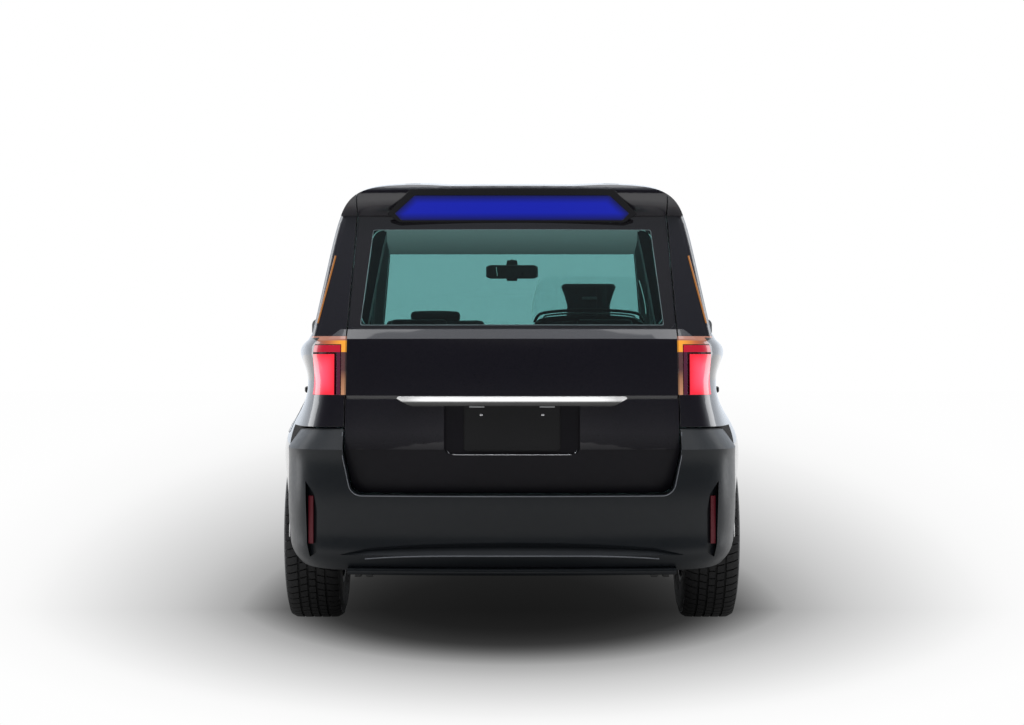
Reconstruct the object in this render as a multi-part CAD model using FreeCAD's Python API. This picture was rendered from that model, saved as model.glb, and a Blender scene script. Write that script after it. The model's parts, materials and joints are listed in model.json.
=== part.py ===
import FreeCAD, Part
import math
import os

# A five-door taxi cab of tall one-box shape, in millimetres.
# +Z is up, +Y is forward and +X is the cab's right hand side.
# The origin is on the ground, midway between the bumpers.
# The driver sits on the right. The left rear door slides; the right rear door is hinged.

V = FreeCAD.Vector
UP = V(0, 0, 1)
ACROSS = V(1, 0, 0)

# Overall size
LENGTH = 4350.0
WIDTH = 1695.0
HEIGHT = 1700.0
WHEELBASE = 2750.0
REAR_OVERHANG = 790.0
Y_TAIL = -LENGTH / 2
Y_NOSE = LENGTH / 2
Y_REAR_AXLE = Y_TAIL + REAR_OVERHANG
Y_FRONT_AXLE = Y_REAR_AXLE + WHEELBASE

# Wheels and steering
TYRE_R = 320.0
TYRE_W = 205.0
RIM_R = 205.0
RIM_LIP = 14.0
WHEEL_X = 725.0
SPINDLE_R = 14.0
SPINDLE_REACH = 42.0
KINGPIN_X = 683.0
KINGPIN_R = 12.0
ARCH_R = 360.0
WELL_R = 372.0
HOUSE_T = 10.0
SPOKES = 10

# Clearances
RUN_GAP = 0.05
SEAT_GAP = 0.3
PANEL_GAP = 0.5
SHUT_GAP = 5.0
GLASS_GAP = 0.5
HINGE_GAP = 8.0
POST_GAP = 6.0

# Body walls
DOOR_WALL = 72.0
PILLAR_WALL = 46.0
FENDER_WALL = 54.0
HOOD_WALL = 34.0
HOOD_EDGE_R = 50.0
ROOF_EDGE_R = 34.0
GLASS_T = 5.0
FLANGE_T = 14.0
FLANGE_REACH = 30.0
FLOOR_Z = 205.0
FLOOR_T = 45.0
LOAD_FLOOR_Z = 452.0
FIREWALL_Y = 1013.0
FIREWALL_T = 32.0

# Lower body: plan curves at rising heights, each (height, half width, tail, nose)
SILL_Z = 180.0
SHOULDER_Z = 1035.0
BELT_Z = 1068.0
SHOULDER_STEP = 20.0
BODY_HALF = 798.0
PLAN_MID_Y = -100.0
TAIL_POWER = 14.0
NOSE_POWER = 5.0
TAIL_CROWN = 45.0
TAPER = 0.067
TAPER_START_Y = -300.0
TAPER_RUN = 1800.0
BODY_LEVELS = [
    (SILL_Z, BODY_HALF - 28, Y_TAIL + 75, Y_NOSE - 70),
    (260.0, BODY_HALF - 14, Y_TAIL + 60, Y_NOSE - 36),
    (400.0, BODY_HALF - 4, Y_TAIL + 50, Y_NOSE - 8),
    (550.0, BODY_HALF, Y_TAIL + 45, Y_NOSE),
    (700.0, BODY_HALF - 2, Y_TAIL + 45, Y_NOSE - 3),
    (800.0, BODY_HALF - 8, Y_TAIL + 47, Y_NOSE - 12),
    (920.0, BODY_HALF - 10, Y_TAIL + 57, Y_NOSE - 32),
    (SHOULDER_Z, BODY_HALF - 14, Y_TAIL + 70, Y_NOSE - 60),
]
HOOD_LEVEL = (1110.0, BODY_HALF - 25, Y_TAIL + 85, Y_NOSE - 84)

# The body swells round each wheel: (axle, half width there)
HAUNCHES = [(Y_REAR_AXLE, WIDTH / 2 - 2.5), (Y_FRONT_AXLE, WIDTH / 2 + 5.5)]
HAUNCH_RUN = 464.0
HAUNCH_TOP_Z = 650.0
HAUNCH_FADE = 120.0

# Upper body: cross sections along the roof
ROOF_PEAK_Z = 1688.0
ROOF_BASE_Z = 1000.0
ROOF_HALF = 771.0
ROOF_POWER = 10.0
ROOF_DROP = 94.0
TUMBLEHOME = 0.17
ROOF_CROWN = 12.0
ROOF_CHANNEL = 6.0
ROOF_STATIONS = [-2260.0, -2040.0, -1840.0, -1600.0, -1200.0, -700.0, -150.0, 350.0, 700.0, 1050.0, 1450.0]
ROOF_SPLIT = 533.0
SCREEN_BASE = (1285.0, 1050.0)
SCREEN_SLOPE = 1.22
SCREEN_BOW = 150.0
TAIL_BASE = (Y_TAIL + 104, BELT_Z)
TAIL_SLOPE = 0.30
TAIL_BOW = 42.0

# Hood
HOOD_START_Y = 1180.0
HOOD_HIGH_Z = 1064.0
HOOD_CROWN = 46.0
HOOD_PIN_Y = 1245.0
HOOD_PIN_Z = 1030.0
HOOD_PIN_X = 573.0
HOOD_PIN_R = 5.0
HOOD_SWING = 2.0
WIPER_WELL_Z = 1018.0

# Side doors: outlines in (y, z, corner radius), their posts and hinges
FRONT_DOOR = [(-22, 262, 30), (940, 262, 80), (940, 1092, 30), (345, 1580, 50), (-22, 1580, 30)]
REAR_DOOR = [(-930, 262, 80), (-30, 262, 30), (-30, 1580, 30), (-960, 1570, 60), (-960, 700, 120)]
FRONT_GLASS = [(-12, 1078, 16), (928, 1078, 14), (354, 1548, 36), (-12, 1548, 16)]
REAR_GLASS = [(-40, 1078, 16), (-40, 1548, 16), (-950, 1538, 36), (-950, 1078, 30)]
QUARTER_GLASS = [(-985, 1088, 24), (-985, 1530, 36), (-1700, 1500, 80), (-1830, 1120, 60)]
GLASS_LAP = 34.0
POST_HEIGHTS = (SILL_Z, 260.0, 400.0, 550.0, 700.0, 860.0, SHOULDER_Z, 1100.0, 1300.0, 1450.0, 1540.0, 1600.0)
POST_OUTER = 60.0
POST_INNER = 115.0
HINGE_DEPTH = 11.0
HINGE_MID_Z = 590.0
HINGE_PIN_R = 3.5
HINGE_ARM = 68.0
HINGE_SWING = 20.0
FRONT_HINGES = [(900.0, 480.0), (900.0, 700.0)]
REAR_HINGES = [(-70.0, 480.0), (-70.0, 700.0)]
HANDLE_Z = 846.0
HANDLE_L = 150.0
HANDLE_H = 26.0
HANDLE_REACH = 50.0
HANDLE_T = 24.0
RAIL_Z = 850.0
RAIL_H = 24.0
RAIL_DEPTH = 16.0


def two_sided(corners):
    """A right-hand outline in (x, z), from the middle up or down, closed by its mirror image."""
    other = [(-c[0],) + tuple(c[1:]) for c in reversed(corners)]
    return list(corners) + other


# Tailgate and what it carries, outlines in (x, z, corner radius)
TAILGATE = two_sided([(541, 508, 40), (573, 650), (567, 1050), (555, 1222), (539, 1470), (533, 1800)])
TAIL_GLASS = two_sided([(562, 1073, 20), (553, 1222), (535, 1466, 12)])
TAIL_VIEW = two_sided([(524, 1082, 30), (485, 1418, 40)])
SCREEN = two_sided([(672, 1070, 40), (588, 1610, 60)])
SCREEN_VIEW = two_sided([(640, 1100, 60), (560, 1582, 70)])
GATE_CREASE_Z = 657.0
GATE_UNDERCUT = 0.155
GATE_Y = -1850.0
GATE_Z = 1562.0
GATE_R = 34.0
GATE_EAR_X = 350.0
GATE_EAR_W = 42.0
GATE_PIN_R = 5.0
PLATE_ROOM = two_sided([(230, 642, 20), (230, 820, 12)])
PLATE_Y = -2108.0
GATE_LINE_Z = 835.0
GATE_LINE_H = 11.0
GATE_LINE_DEPTH = 8.0
GARNISH = two_sided([(350, 806, 40), (394, 832, 3), (388, 838, 3)])
GARNISH_BACK_Y = -2118.0
GARNISH_T = 28.0
SPOILER_Y = -2024.0
SPOILER_LOW_Z = 1470.0
SPOILER_BOW = 55.0
SIGN = two_sided([(392, 1445), (441, 1477), (318, 1555)])
SIGN_LENS = two_sided([(377, 1456), (409, 1476), (339, 1530, 14)])
SIGN_BACK_Y = -1958.2
SIGN_SINK = 3.0
SIGN_DEPTH = 14.0

# Tail lamps and reflectors, outlines in (x, z)
LAMP_LOW_Z = 843.0
LAMP_HIGH_Z = 1045.0
LAMP_GROOVES = [(602.5, 611.0, 983.0, 990.0), (586.5, 589.5, 1014.0, 1017.0)]
LAMP_GROOVE_DEPTH = 9.0
REFLECTOR_SLOT = [(708, 549), (676, 505), (665, 445), (668, 304), (693, 288), (703, 336)]
REFLECTOR = [(698, 497), (681, 497), (681, 334), (698, 334)]
REFLECTOR_DEPTH = 20.0
REFLECTOR_T = 12.0

# Rear bumper: (height, half width, set back from the tail)
BUMPER_LEVELS = [
    (228.0, 790.0, 70.0), (262.0, 812.0, 28.0), (299.0, 838.0, 3.0), (350.0, 850.0, 6.0),
    (420.0, 855.0, 3.0), (540.0, 856.0, 0.0), (GATE_CREASE_Z, 856.0, 0.0),
]
BUMPER_TOP = (729.0, 803.0, 46.0)
BUMPER_FRONT_Y = -1760.0
BUMPER_WALL = 46.0
SCOOP_Z = 299.0
SCOOP_HALF = 582.0
SCOOP_H = 45.0
SCOOP_DEPTH = 20.0

# Front end, outlines in (x, z, corner radius)
UPPER_GRILLE = two_sided([(370, 700, 20), (400, 790, 20)])
LOWER_GRILLE = two_sided([(480, 300, 40), (520, 460, 40)])
GRILLE_FRAME = 9.0
GRILLE_VANE = 5.0
GRILLE_PITCH = 22.0
GRILLE_TILT = 0.35
GRILLE_DEPTH = 26.0
GRILLE_POSTS = (-300.0, -100.0, 100.0, 300.0)
FRONT_PLATE = two_sided([(175, 495, 8), (175, 665, 8)])
FRONT_PLATE_Y = Y_NOSE - 12
NOSE_ZONE_Y = 1752.0
NOSE_ZONE_TOP = 640.0
NOSE_ZONE_X = 430.0

# Seats and cabin
SEAT_X = 335.0
SEAT_HALF = 235.0
SEAT_TOP_Z = 1153.0
BENCH_HALF = 560.0
BENCH_TOP_Z = 1098.0
BENCH_REST_X = 372.0
SCREEN_TOP_Z = 1325.0
SCREEN_T = 5.0
HAND_WHEEL = V(360, 560, 945)
HAND_WHEEL_TILT = 62.0
HAND_WHEEL_R = 180.0
SHAFT_R = 8.0

WHEELS = [
    ("front_right", WHEEL_X, Y_FRONT_AXLE),
    ("front_left", -WHEEL_X, Y_FRONT_AXLE),
    ("rear_right", WHEEL_X, Y_REAR_AXLE),
    ("rear_left", -WHEEL_X, Y_REAR_AXLE),
]


# General helpers

def smooth(t):
    t = min(1.0, max(0.0, t))
    return t * t * (3 - 2 * t)


def spaced(a, b, count):
    return [a + (b - a) * i / (count - 1) for i in range(count)]


def table(rows, column, at):
    """A column of a table of rows, read between its rows."""
    for low, high in zip(rows, rows[1:]):
        if at <= high[0]:
            share = max(0.0, (at - low[0]) / (high[0] - low[0]))
            return low[column] + share * (high[column] - low[column])
    return rows[-1][column]


def even_steps(curve, low, high, count, bend):
    """Parameters along a flat curve, evenly spread by its length plus bend times its turning."""
    fine = 720
    steps = spaced(low, high, fine + 1)
    points = [curve(s) for s in steps]
    travel = [0.0]
    heading = None
    for (ax, ay), (bx, by) in zip(points, points[1:]):
        new = math.atan2(by - ay, bx - ax)
        turn = 0.0
        if heading is not None:
            turn = abs((new - heading + math.pi) % (2 * math.pi) - math.pi)
        heading = new
        travel.append(travel[-1] + math.hypot(bx - ax, by - ay) + bend * turn)
    found = []
    j = 0
    for k in range(count):
        target = travel[-1] * k / (count - 1)
        while j < fine - 1 and travel[j + 1] < target:
            j += 1
        share = (target - travel[j]) / (travel[j + 1] - travel[j])
        found.append(steps[j] + share * (steps[j + 1] - steps[j]))
    return found


def chord_steps(points, closed=False):
    """Each point's share of the way round a curve, for curves that are to be lofted together."""
    loop = points + points[:1] if closed else points
    travel = [0.0]
    for a, b in zip(loop, loop[1:]):
        travel.append(travel[-1] + (b - a).Length)
    return [t / travel[-1] for t in travel]


def spline(points, steps, closed=False):
    curve = Part.BSplineCurve()
    curve.interpolate(Points=points, PeriodicFlag=closed, Parameters=steps)
    return curve.toShape()


def graph_face(point, us, vs):
    surface = Part.BSplineSurface()
    surface.interpolate([[point(u, v) for v in vs] for u in us])
    return surface.toShape()


def block(x0, x1, y0, y1, z0, z1):
    return Part.makeBox(x1 - x0, y1 - y0, z1 - z0, V(x0, y0, z0))


def rod(radius, start, end):
    way = end - start
    return Part.makeCylinder(radius, way.Length, start, way)


def cross_rod(radius, x0, x1, y, z):
    return rod(radius, V(x0, y, z), V(x1, y, z))


def rounded(corners, place, radius=0.0):
    """A closed outline in a plane. Each corner is (u, v) or (u, v, its own radius)."""
    flat = [(c[0], c[1], c[2] if len(c) > 2 else radius) for c in corners]
    arcs = {}
    ends = []
    for i, (u, v, r) in enumerate(flat):
        here = V(u, v, 0)
        if r <= 0:
            ends.append((here, here))
            continue
        before = V(flat[i - 1][0], flat[i - 1][1], 0)
        after = V(flat[(i + 1) % len(flat)][0], flat[(i + 1) % len(flat)][1], 0)
        a = (before - here).normalize()
        b = (after - here).normalize()
        half = a.getAngle(b) / 2
        back = r / math.tan(half)
        middle = here + (a + b).normalize() * (r / math.sin(half) - r)
        ends.append((here + a * back, here + b * back))
        arcs[i] = Part.Arc(*[place(p.x, p.y) for p in (ends[-1][0], middle, ends[-1][1])]).toShape()
    loop = []
    for i in range(len(flat)):
        if i in arcs:
            loop.append(arcs[i])
        start = ends[i][1]
        end = ends[(i + 1) % len(flat)][0]
        if (end - start).Length > 1e-6:
            loop.append(Part.LineSegment(place(start.x, start.y), place(end.x, end.y)).toShape())
    return Part.Wire(loop)


def side_prism(corners, x0, x1, radius=0.0, grow=0.0):
    """A prism across the cab from an outline in (y, z)."""
    wire = rounded(corners, lambda y, z: V(x0, y, z), radius)
    if grow:
        wire = wire.makeOffset2D(grow)
    return Part.Face(wire).extrude(V(x1 - x0, 0, 0))


def end_prism(corners, y0, y1, radius=0.0, grow=0.0):
    """A prism along the cab from an outline in (x, z)."""
    wire = rounded(corners, lambda x, z: V(x, y0, z), radius)
    if grow:
        wire = wire.makeOffset2D(grow)
    return Part.Face(wire).extrude(V(0, y1 - y0, 0))


def top_prism(corners, z0, z1):
    """An upright prism from an outline in (x, y)."""
    wire = rounded(corners, lambda x, y: V(x, y, z0))
    return Part.Face(wire).extrude(V(0, 0, z1 - z0))


def revolved(profile):
    """A solid of revolution about the X axis from an outline in (x, r)."""
    wire = rounded(profile, lambda x, r: V(x, 0, r))
    return Part.Face(wire).revolve(V(0, 0, 0), ACROSS, 360)


def mirrored(shape):
    return shape.mirror(V(0, 0, 0), ACROSS)


def both(shape):
    return Part.makeCompound([shape, mirrored(shape)])


def biggest(shape):
    return max(shape.Solids, key=lambda s: s.Volume)


def export(name, shape):
    solids = shape.Solids
    out = solids[0] if len(solids) == 1 else Part.makeCompound(solids)
    out.exportStep("parts/" + name + ".step")


# Master forms

def haunch(y, z, x, inset=0.0):
    """Half width x at (y, z), swelled out round each wheel."""
    rise = max(0.0, z - HAUNCH_TOP_Z) / HAUNCH_FADE
    for axle, half in HAUNCHES:
        run = (y - axle) / HAUNCH_RUN
        x += max(0.0, half - inset - x) * math.exp(-run ** 2 - rise ** 2)
    return x


def taper(y):
    return 1 - TAPER * smooth((TAPER_START_Y - y) / TAPER_RUN)


def crown(x):
    """How far forward the tail curves at a distance x from the middle."""
    return TAIL_CROWN * (x / 600) ** 2


def plan_point(angle, half, tail, nose):
    c, s = math.cos(angle), math.sin(angle)
    power = NOSE_POWER if s > 0 else TAIL_POWER
    reach = nose - PLAN_MID_Y if s > 0 else PLAN_MID_Y - tail
    x = half * max(0.0, c) ** (2 / power)
    y = PLAN_MID_Y + math.copysign(reach * abs(s) ** (2 / power), s)
    return x, y


def tailed(x, y):
    """A plan point, tapered towards the tail and curved across it."""
    x *= taper(y)
    return x, y + crown(x) * smooth((-1500 - y) / 500)


PLAN_ANGLES = even_steps(
    lambda a: plan_point(a, BODY_HALF, Y_TAIL, Y_NOSE), -math.pi / 2, math.pi / 2, 28, 420.0)


def plan_points(z, half, tail, nose, inset=0.0, swell=True):
    """Points round a plan curve at height z, starting at the nose."""
    right = []
    for angle in PLAN_ANGLES:
        x, y = tailed(*plan_point(angle, half - inset, tail + inset, nose - inset))
        if swell:
            x = haunch(y, z, x, inset)
        right.append(V(x, y, z))
    right[0].x = right[-1].x = 0.0
    left = [V(-p.x, p.y, p.z) for p in right[1:-1]]
    return [right[-1]] + left[::-1] + right[:-1]


PLAN_STEPS = chord_steps(plan_points(550.0, BODY_HALF, Y_TAIL, Y_NOSE, 0.0, False), True)


def plan_ring(*size):
    return Part.Wire([spline(plan_points(*size), PLAN_STEPS, True)])


def skin_x(y, z):
    """The lower body's half width at (y, z)."""
    half = table(BODY_LEVELS, 1, z)
    end = table(BODY_LEVELS, 3, z) if y > PLAN_MID_Y else table(BODY_LEVELS, 2, z)
    power = NOSE_POWER if y > PLAN_MID_Y else TAIL_POWER
    share = min(1.0, abs((y - PLAN_MID_Y) / (end - PLAN_MID_Y)))
    return haunch(y, z, half * (1 - share ** power) ** (1 / power) * taper(y))


def tail_skin_y(x, half, tail):
    """Where a plan curve meets the distance x from the middle, at the tail."""
    low, high = -math.pi / 2, -0.2
    for _ in range(40):
        middle = (low + high) / 2
        if tailed(*plan_point(middle, half, tail, Y_NOSE))[0] < x:
            low = middle
        else:
            high = middle
    return tailed(*plan_point(low, half, tail, Y_NOSE))[1]


def tail_layer(x0, x1, z0, z1, half, tail, depth):
    """All that lies behind the tail's skin and down to a depth below it."""
    floor = [(x, tail_skin_y(x, half, tail) + depth) for x in spaced(x1, x0, 7)]
    return top_prism([(x0, -2400), (x1, -2400)] + floor, z0, z1)


def crowned_slab(y0, y1, half, z0, z1):
    """An upright slab with the tail's curve, from y0 to y1 at the middle."""
    edges = []
    corners = []
    for y in (y0, y1):
        side = y + crown(half)
        edges.append(Part.Arc(V(-half, side, z0), V(0, y, z0), V(half, side, z0)).toShape())
        corners.append(side)
    for x in (half, -half):
        edges.append(Part.LineSegment(V(x, corners[0], z0), V(x, corners[1], z0)).toShape())
    loop = Part.Wire([edges[0], edges[2], edges[1], edges[3]])
    return Part.Face(loop).extrude(V(0, 0, z1 - z0))


def hood_z(x, y):
    run = max(0.0, y - HOOD_START_Y)
    fade = smooth(run / 180)
    return HOOD_HIGH_Z - 0.000165 * run ** 2 - HOOD_CROWN * (x / 800) ** 2 * fade


def under_hood_slab(drop=0.0):
    xs = spaced(-1000, 1000, 9)
    ys = spaced(HOOD_START_Y - 60, 2400, 11)
    skin = graph_face(lambda x, y: V(x, y, hood_z(x, y) - drop), xs, ys)
    return skin.extrude(V(0, 0, -1400))


def rear_form(inset=0.0):
    """The lower body behind the hood, with its chamfered shoulder under the glass."""
    rings = [plan_ring(z, half, tail, nose, inset) for z, half, tail, nose in BODY_LEVELS]
    sides = Part.makeLoft(rings, True, False)
    z, half, tail, nose = BODY_LEVELS[-1]
    step = SHOULDER_STEP
    top = plan_ring(BELT_Z - inset / 2, half - step, tail + step, nose - step, inset)
    shoulder = Part.makeLoft([rings[-1], top], True, True)
    whole = sides.fuse(shoulder)
    return whole.common(block(-1000, 1000, -2400, HOOD_START_Y, 0, 1200))


def front_form(inset=0.0):
    """The lower body under the hood and round the nose."""
    rings = [plan_ring(z, half, tail, nose, inset) for z, half, tail, nose in BODY_LEVELS + [HOOD_LEVEL]]
    whole = Part.makeLoft(rings, True, False)
    return whole.common(block(-1000, 1000, HOOD_START_Y, 2400, 0, 1200)).common(under_hood_slab(inset))


def round_top(form, radius):
    edges = [e for e in form.Edges if e.BoundBox.ZMin > 700 and e.BoundBox.YMax > HOOD_START_Y + 50]
    return form.makeFillet(radius, edges)


def roof_z(y):
    if y < 0:
        return ROOF_PEAK_Z - ROOF_DROP * (-y / 1800) ** 1.9
    return ROOF_PEAK_Z - 46 * (y / 700) ** 2.2


def roof_half(y):
    front = 27 * smooth((y - 300) / 900)
    return (ROOF_HALF - front) * taper(y) - 18 * smooth((-1500 - y) / 600)


def roof_point(angle, half, rise):
    c, s = math.cos(angle), math.sin(angle)
    up = abs(s) ** (2 / ROOF_POWER)
    x = half * (1 - TUMBLEHOME * up) * math.copysign(abs(c) ** (2 / ROOF_POWER), c)
    channel = ROOF_CHANNEL * (1 - smooth((abs(x) - 213) / 119))
    z = ROOF_BASE_Z + rise * up - (ROOF_CROWN * (x / half) ** 2 + channel) * up
    return x, z


ROOF_ANGLES = even_steps(lambda a: roof_point(a, ROOF_HALF, 690.0), 0.0, math.pi / 2, 15, 260.0)


def roof_points(y, inset=0.0):
    half = roof_half(y) - inset
    rise = roof_z(y) - ROOF_BASE_Z - inset
    right = [roof_point(a, half, rise) for a in ROOF_ANGLES]
    right[-1] = (0.0, right[-1][1])
    return [V(x, y, z) for x, z in right] + [V(-x, y, z) for x, z in right[-2::-1]]


ROOF_STEPS = chord_steps(roof_points(0.0))


def roof_section(y, inset):
    points = roof_points(y, inset)
    base = Part.LineSegment(points[-1], points[0]).toShape()
    return Part.Wire([spline(points, ROOF_STEPS), base])


def roof_tunnel(inset=0.0):
    return Part.makeLoft([roof_section(y, inset) for y in ROOF_STATIONS], True, False)


def upper_x(y, z):
    """The upper body's half width at (y, z)."""
    up = min(0.999, (z - ROOF_BASE_Z) / (roof_z(y) - ROOF_BASE_Z))
    return roof_half(y) * (1 - TUMBLEHOME * up) * (1 - up ** ROOF_POWER) ** (1 / ROOF_POWER)


def screen_y(x, z):
    return SCREEN_BASE[0] - (z - SCREEN_BASE[1]) * SCREEN_SLOPE - SCREEN_BOW * (x / 640) ** 2


def tail_y(x, z):
    return TAIL_BASE[0] + (z - TAIL_BASE[1]) * TAIL_SLOPE + TAIL_BOW * (x / 600) ** 2


def spoiler_y(x, z):
    tuck = 55 * (max(0.0, 1545 - z) / 75) ** 2
    roll = 10 * (max(0.0, z - 1545) / 25) ** 2
    return SPOILER_Y + SPOILER_BOW * (x / 600) ** 2 + tuck + roll


def undercut_y(x, z):
    return Y_TAIL + 46 + crown(x) + (GATE_CREASE_Z - z) * GATE_UNDERCUT


def behind_screen(inset=0.0):
    shift = inset * math.hypot(1, SCREEN_SLOPE)
    across = spaced(-1000, 1000, 9)
    face = graph_face(lambda x, z: V(x, screen_y(x, z) - shift, z), across, spaced(900, 1900, 5))
    return face.extrude(V(0, -4500, 0))


def ahead_of(sheet, low, high, shift=0.0):
    """All that lies ahead of an upright sheet y(x, z)."""
    across = spaced(-1000, 1000, 9)
    face = graph_face(lambda x, z: V(x, sheet(x, z) + shift, z), across, spaced(low, high, 13))
    return face.extrude(V(0, 4500, 0))


def ahead_of_tail(inset=0.0):
    return ahead_of(tail_y, 900, 1900, inset * math.hypot(1, TAIL_SLOPE))


def upper_form(inset=0.0):
    return roof_tunnel(inset).common(behind_screen(inset)).common(ahead_of_tail(inset))


class Forms:
    """The master solids that the panels are cut from."""

    def __init__(self):
        self.rear = rear_form()
        self.rear_room = rear_form(DOOR_WALL)
        self.tunnel = roof_tunnel()
        upper = upper_form()
        self.upper = upper.makeFillet(ROOF_EDGE_R, [e for e in upper.Edges if e.BoundBox.ZMax > 1200])
        self.upper_room = upper_form(PILLAR_WALL)
        self.glass_back = upper_form(GLASS_T)
        self.glass_seat = upper_form(GLASS_T + GLASS_GAP)
        self.front = round_top(front_form(), HOOD_EDGE_R)
        self.nose_shell = self.front.cut(front_form(FENDER_WALL))
        right = block(0, 1200, -2400, 2400, 0, 2000)
        top = self.upper.common(block(0, 1200, -2400, 2400, 1040, 2000)).cut(self.upper_room)
        self.low_shell = self.rear.common(right).cut([self.rear_room, self.upper_room])
        self.shell = self.low_shell.fuse(top)
        seat = end_prism(SCREEN, 300, 1400, 0.0, GLASS_GAP)
        self.screen_seat = seat.cut(behind_screen(GLASS_T + GLASS_GAP))
        self.screen_hole = end_prism(SCREEN_VIEW, 300, 1400)
        self.gate_zone = end_prism(TAILGATE, -2400, -1700)
        self.gate_room = end_prism(TAILGATE, -2400, -1700, 0.0, SHUT_GAP)
        back = ahead_of(spoiler_y, 1400, 1700)
        self.blade = self.tunnel.common(block(-800, 800, -2300, -1860, SPOILER_LOW_Z, 1800)).common(back)


# Side doors and their glass

def pane(outline, forms):
    """A flush side window: the layer of skin inside an outline."""
    prism = side_prism(outline, 400, 950)
    return biggest(forms.upper.common(prism).cut(forms.glass_back))


def glaze(panel, outline, forms):
    """Cut a rebate and a clear opening for a side window out of a panel."""
    seat = side_prism(outline, 400, 950, 0.0, GLASS_GAP).cut(forms.glass_seat)
    hole = side_prism(outline, 400, 950, 0.0, -GLASS_LAP)
    return panel.cut([seat, hole])


def post(y0, y1, z0, z1, outer, inner):
    """An upright pillar that follows the skin between two depths below it."""
    mid = (y0 + y1) / 2
    heights = [z0] + [z for z in POST_HEIGHTS if z0 < z < z1] + [z1]
    skin = [(skin_x(mid, z) if z <= SHOULDER_Z else upper_x(mid, z), z) for z in heights]
    corners = [(x - outer, z) for x, z in skin] + [(x - inner, z) for x, z in reversed(skin)]
    return end_prism(corners, y0, y1)


def post_b(gap=0.0):
    return post(-85 - gap, 35 + gap, SILL_Z, 1600, POST_OUTER - gap, POST_INNER + 2 * gap)


def post_a(gap=0.0):
    return post(850 - gap, 1000 + gap, SILL_Z, 1060 + gap, POST_OUTER - gap, POST_INNER + 2 * gap)


def hinge_x(y):
    return skin_x(y, HINGE_MID_Z) - HINGE_DEPTH


def hinge_arm(y, z):
    """A fixed arm from a pillar out to a door's pin."""
    x = hinge_x(y)
    end = rod(5.5, V(x, y, z - 14), V(x, y, z + 14))
    pin = rod(HINGE_PIN_R, V(x, y, z - 40), V(x, y, z + 40))
    return end.fuse([block(x - HINGE_ARM, x, y - 5.5, y + 5.5, z - 14, z + 14), pin])


def hinge_room(y, z):
    x = hinge_x(y)
    hole = rod(HINGE_PIN_R + RUN_GAP, V(x, y, z - 42), V(x, y, z + 42))
    ring = rod(6.2, V(x, y, z - 16), V(x, y, z + 16))
    swing = block(x - 1, x + 6, y, y + HINGE_SWING, z - 20, z + 20)
    return hole.fuse([ring, swing, block(x - 123, x, y - 11, y + 76, z - 20, z + 20)])


def pull_handle(y):
    """A bar handle on two feet, its middle at y."""
    x = skin_x(y, HANDLE_Z)
    bar = block(x + HANDLE_REACH - HANDLE_T, x + HANDLE_REACH, y - HANDLE_L / 2, y + HANDLE_L / 2,
                HANDLE_Z - HANDLE_H / 2, HANDLE_Z + HANDLE_H / 2)
    bar = bar.makeFillet(9, bar.Edges)
    feet = []
    for end in (y - HANDLE_L / 2 + 16, y + HANDLE_L / 2 - 16):
        out = x + HANDLE_REACH - HANDLE_T + 6
        feet.append(block(x - 8, out, end - 9, end + 9, HANDLE_Z - 8, HANDLE_Z + 8))
    return bar.fuse(feet)


def side_doors(forms):
    near_b = post_b(POST_GAP)
    near_a = post_a(POST_GAP)
    front = forms.shell.common(side_prism(FRONT_DOOR, 400, 950))
    flange = post(-30, FRONT_DOOR[0][0] + FLANGE_REACH, SILL_Z, 1600, FLANGE_T, 130)
    room = post(894, 960, SILL_Z, 1066, 26, POST_OUTER)
    front = glaze(front.cut([near_b, near_a, flange, room]), FRONT_GLASS, forms)
    front = front.cut([hinge_room(y, z) for y, z in FRONT_HINGES])
    front = biggest(front).fuse(pull_handle(95.0))
    sliding = forms.shell.common(side_prism(REAR_DOOR, 400, 950)).cut(near_b)
    sliding = glaze(sliding, REAR_GLASS, forms)
    flange = post(-970, -932, 700, 1600, FLANGE_T, 130)
    room = post(-76, 0, SILL_Z, 1100, 26, POST_OUTER)
    hinged = sliding.cut([flange, room] + [hinge_room(y, z) for y, z in REAR_HINGES])
    handle = pull_handle(-815.0)
    export("door_front_right", front)
    export("door_front_left", mirrored(front))
    export("door_rear_right", biggest(hinged).fuse(handle))
    export("door_sliding_left", mirrored(biggest(sliding).fuse(handle)))
    for name, outline in (("front", FRONT_GLASS), ("rear", REAR_GLASS)):
        glass = pane(outline, forms)
        export("glass_" + name + "_right", glass)
        export("glass_" + name + "_left", mirrored(glass))
    export("glass_quarter", both(pane(QUARTER_GLASS, forms)))


# Body sides and roof

def tail_lamp_room(gap):
    low, high = LAMP_LOW_Z + gap, LAMP_HIGH_Z - gap
    outline = [(560, low, 8), (760, low, 8), (722, high, 8), (560, high, 8)]
    side = [(-2300, 800), (-1985 - gap, 800), (-2000 - gap, 1090), (-2300, 1090)]
    return end_prism(outline, -2300, -1900).common(side_prism(side, 400, 900))


def rail_groove():
    """The groove in the left quarter that the sliding door's rear roller runs in."""
    ys = spaced(-966, -1740, 5)
    floor = [(RAIL_DEPTH - skin_x(y, RAIL_Z), y) for y in ys]
    return top_prism([(-950, ys[-1]), (-950, ys[0])] + floor, RAIL_Z - RAIL_H / 2, RAIL_Z + RAIL_H / 2)


def wheel_arch(y):
    return cross_rod(ARCH_R, 560, 950, y, TYRE_R)


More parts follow.
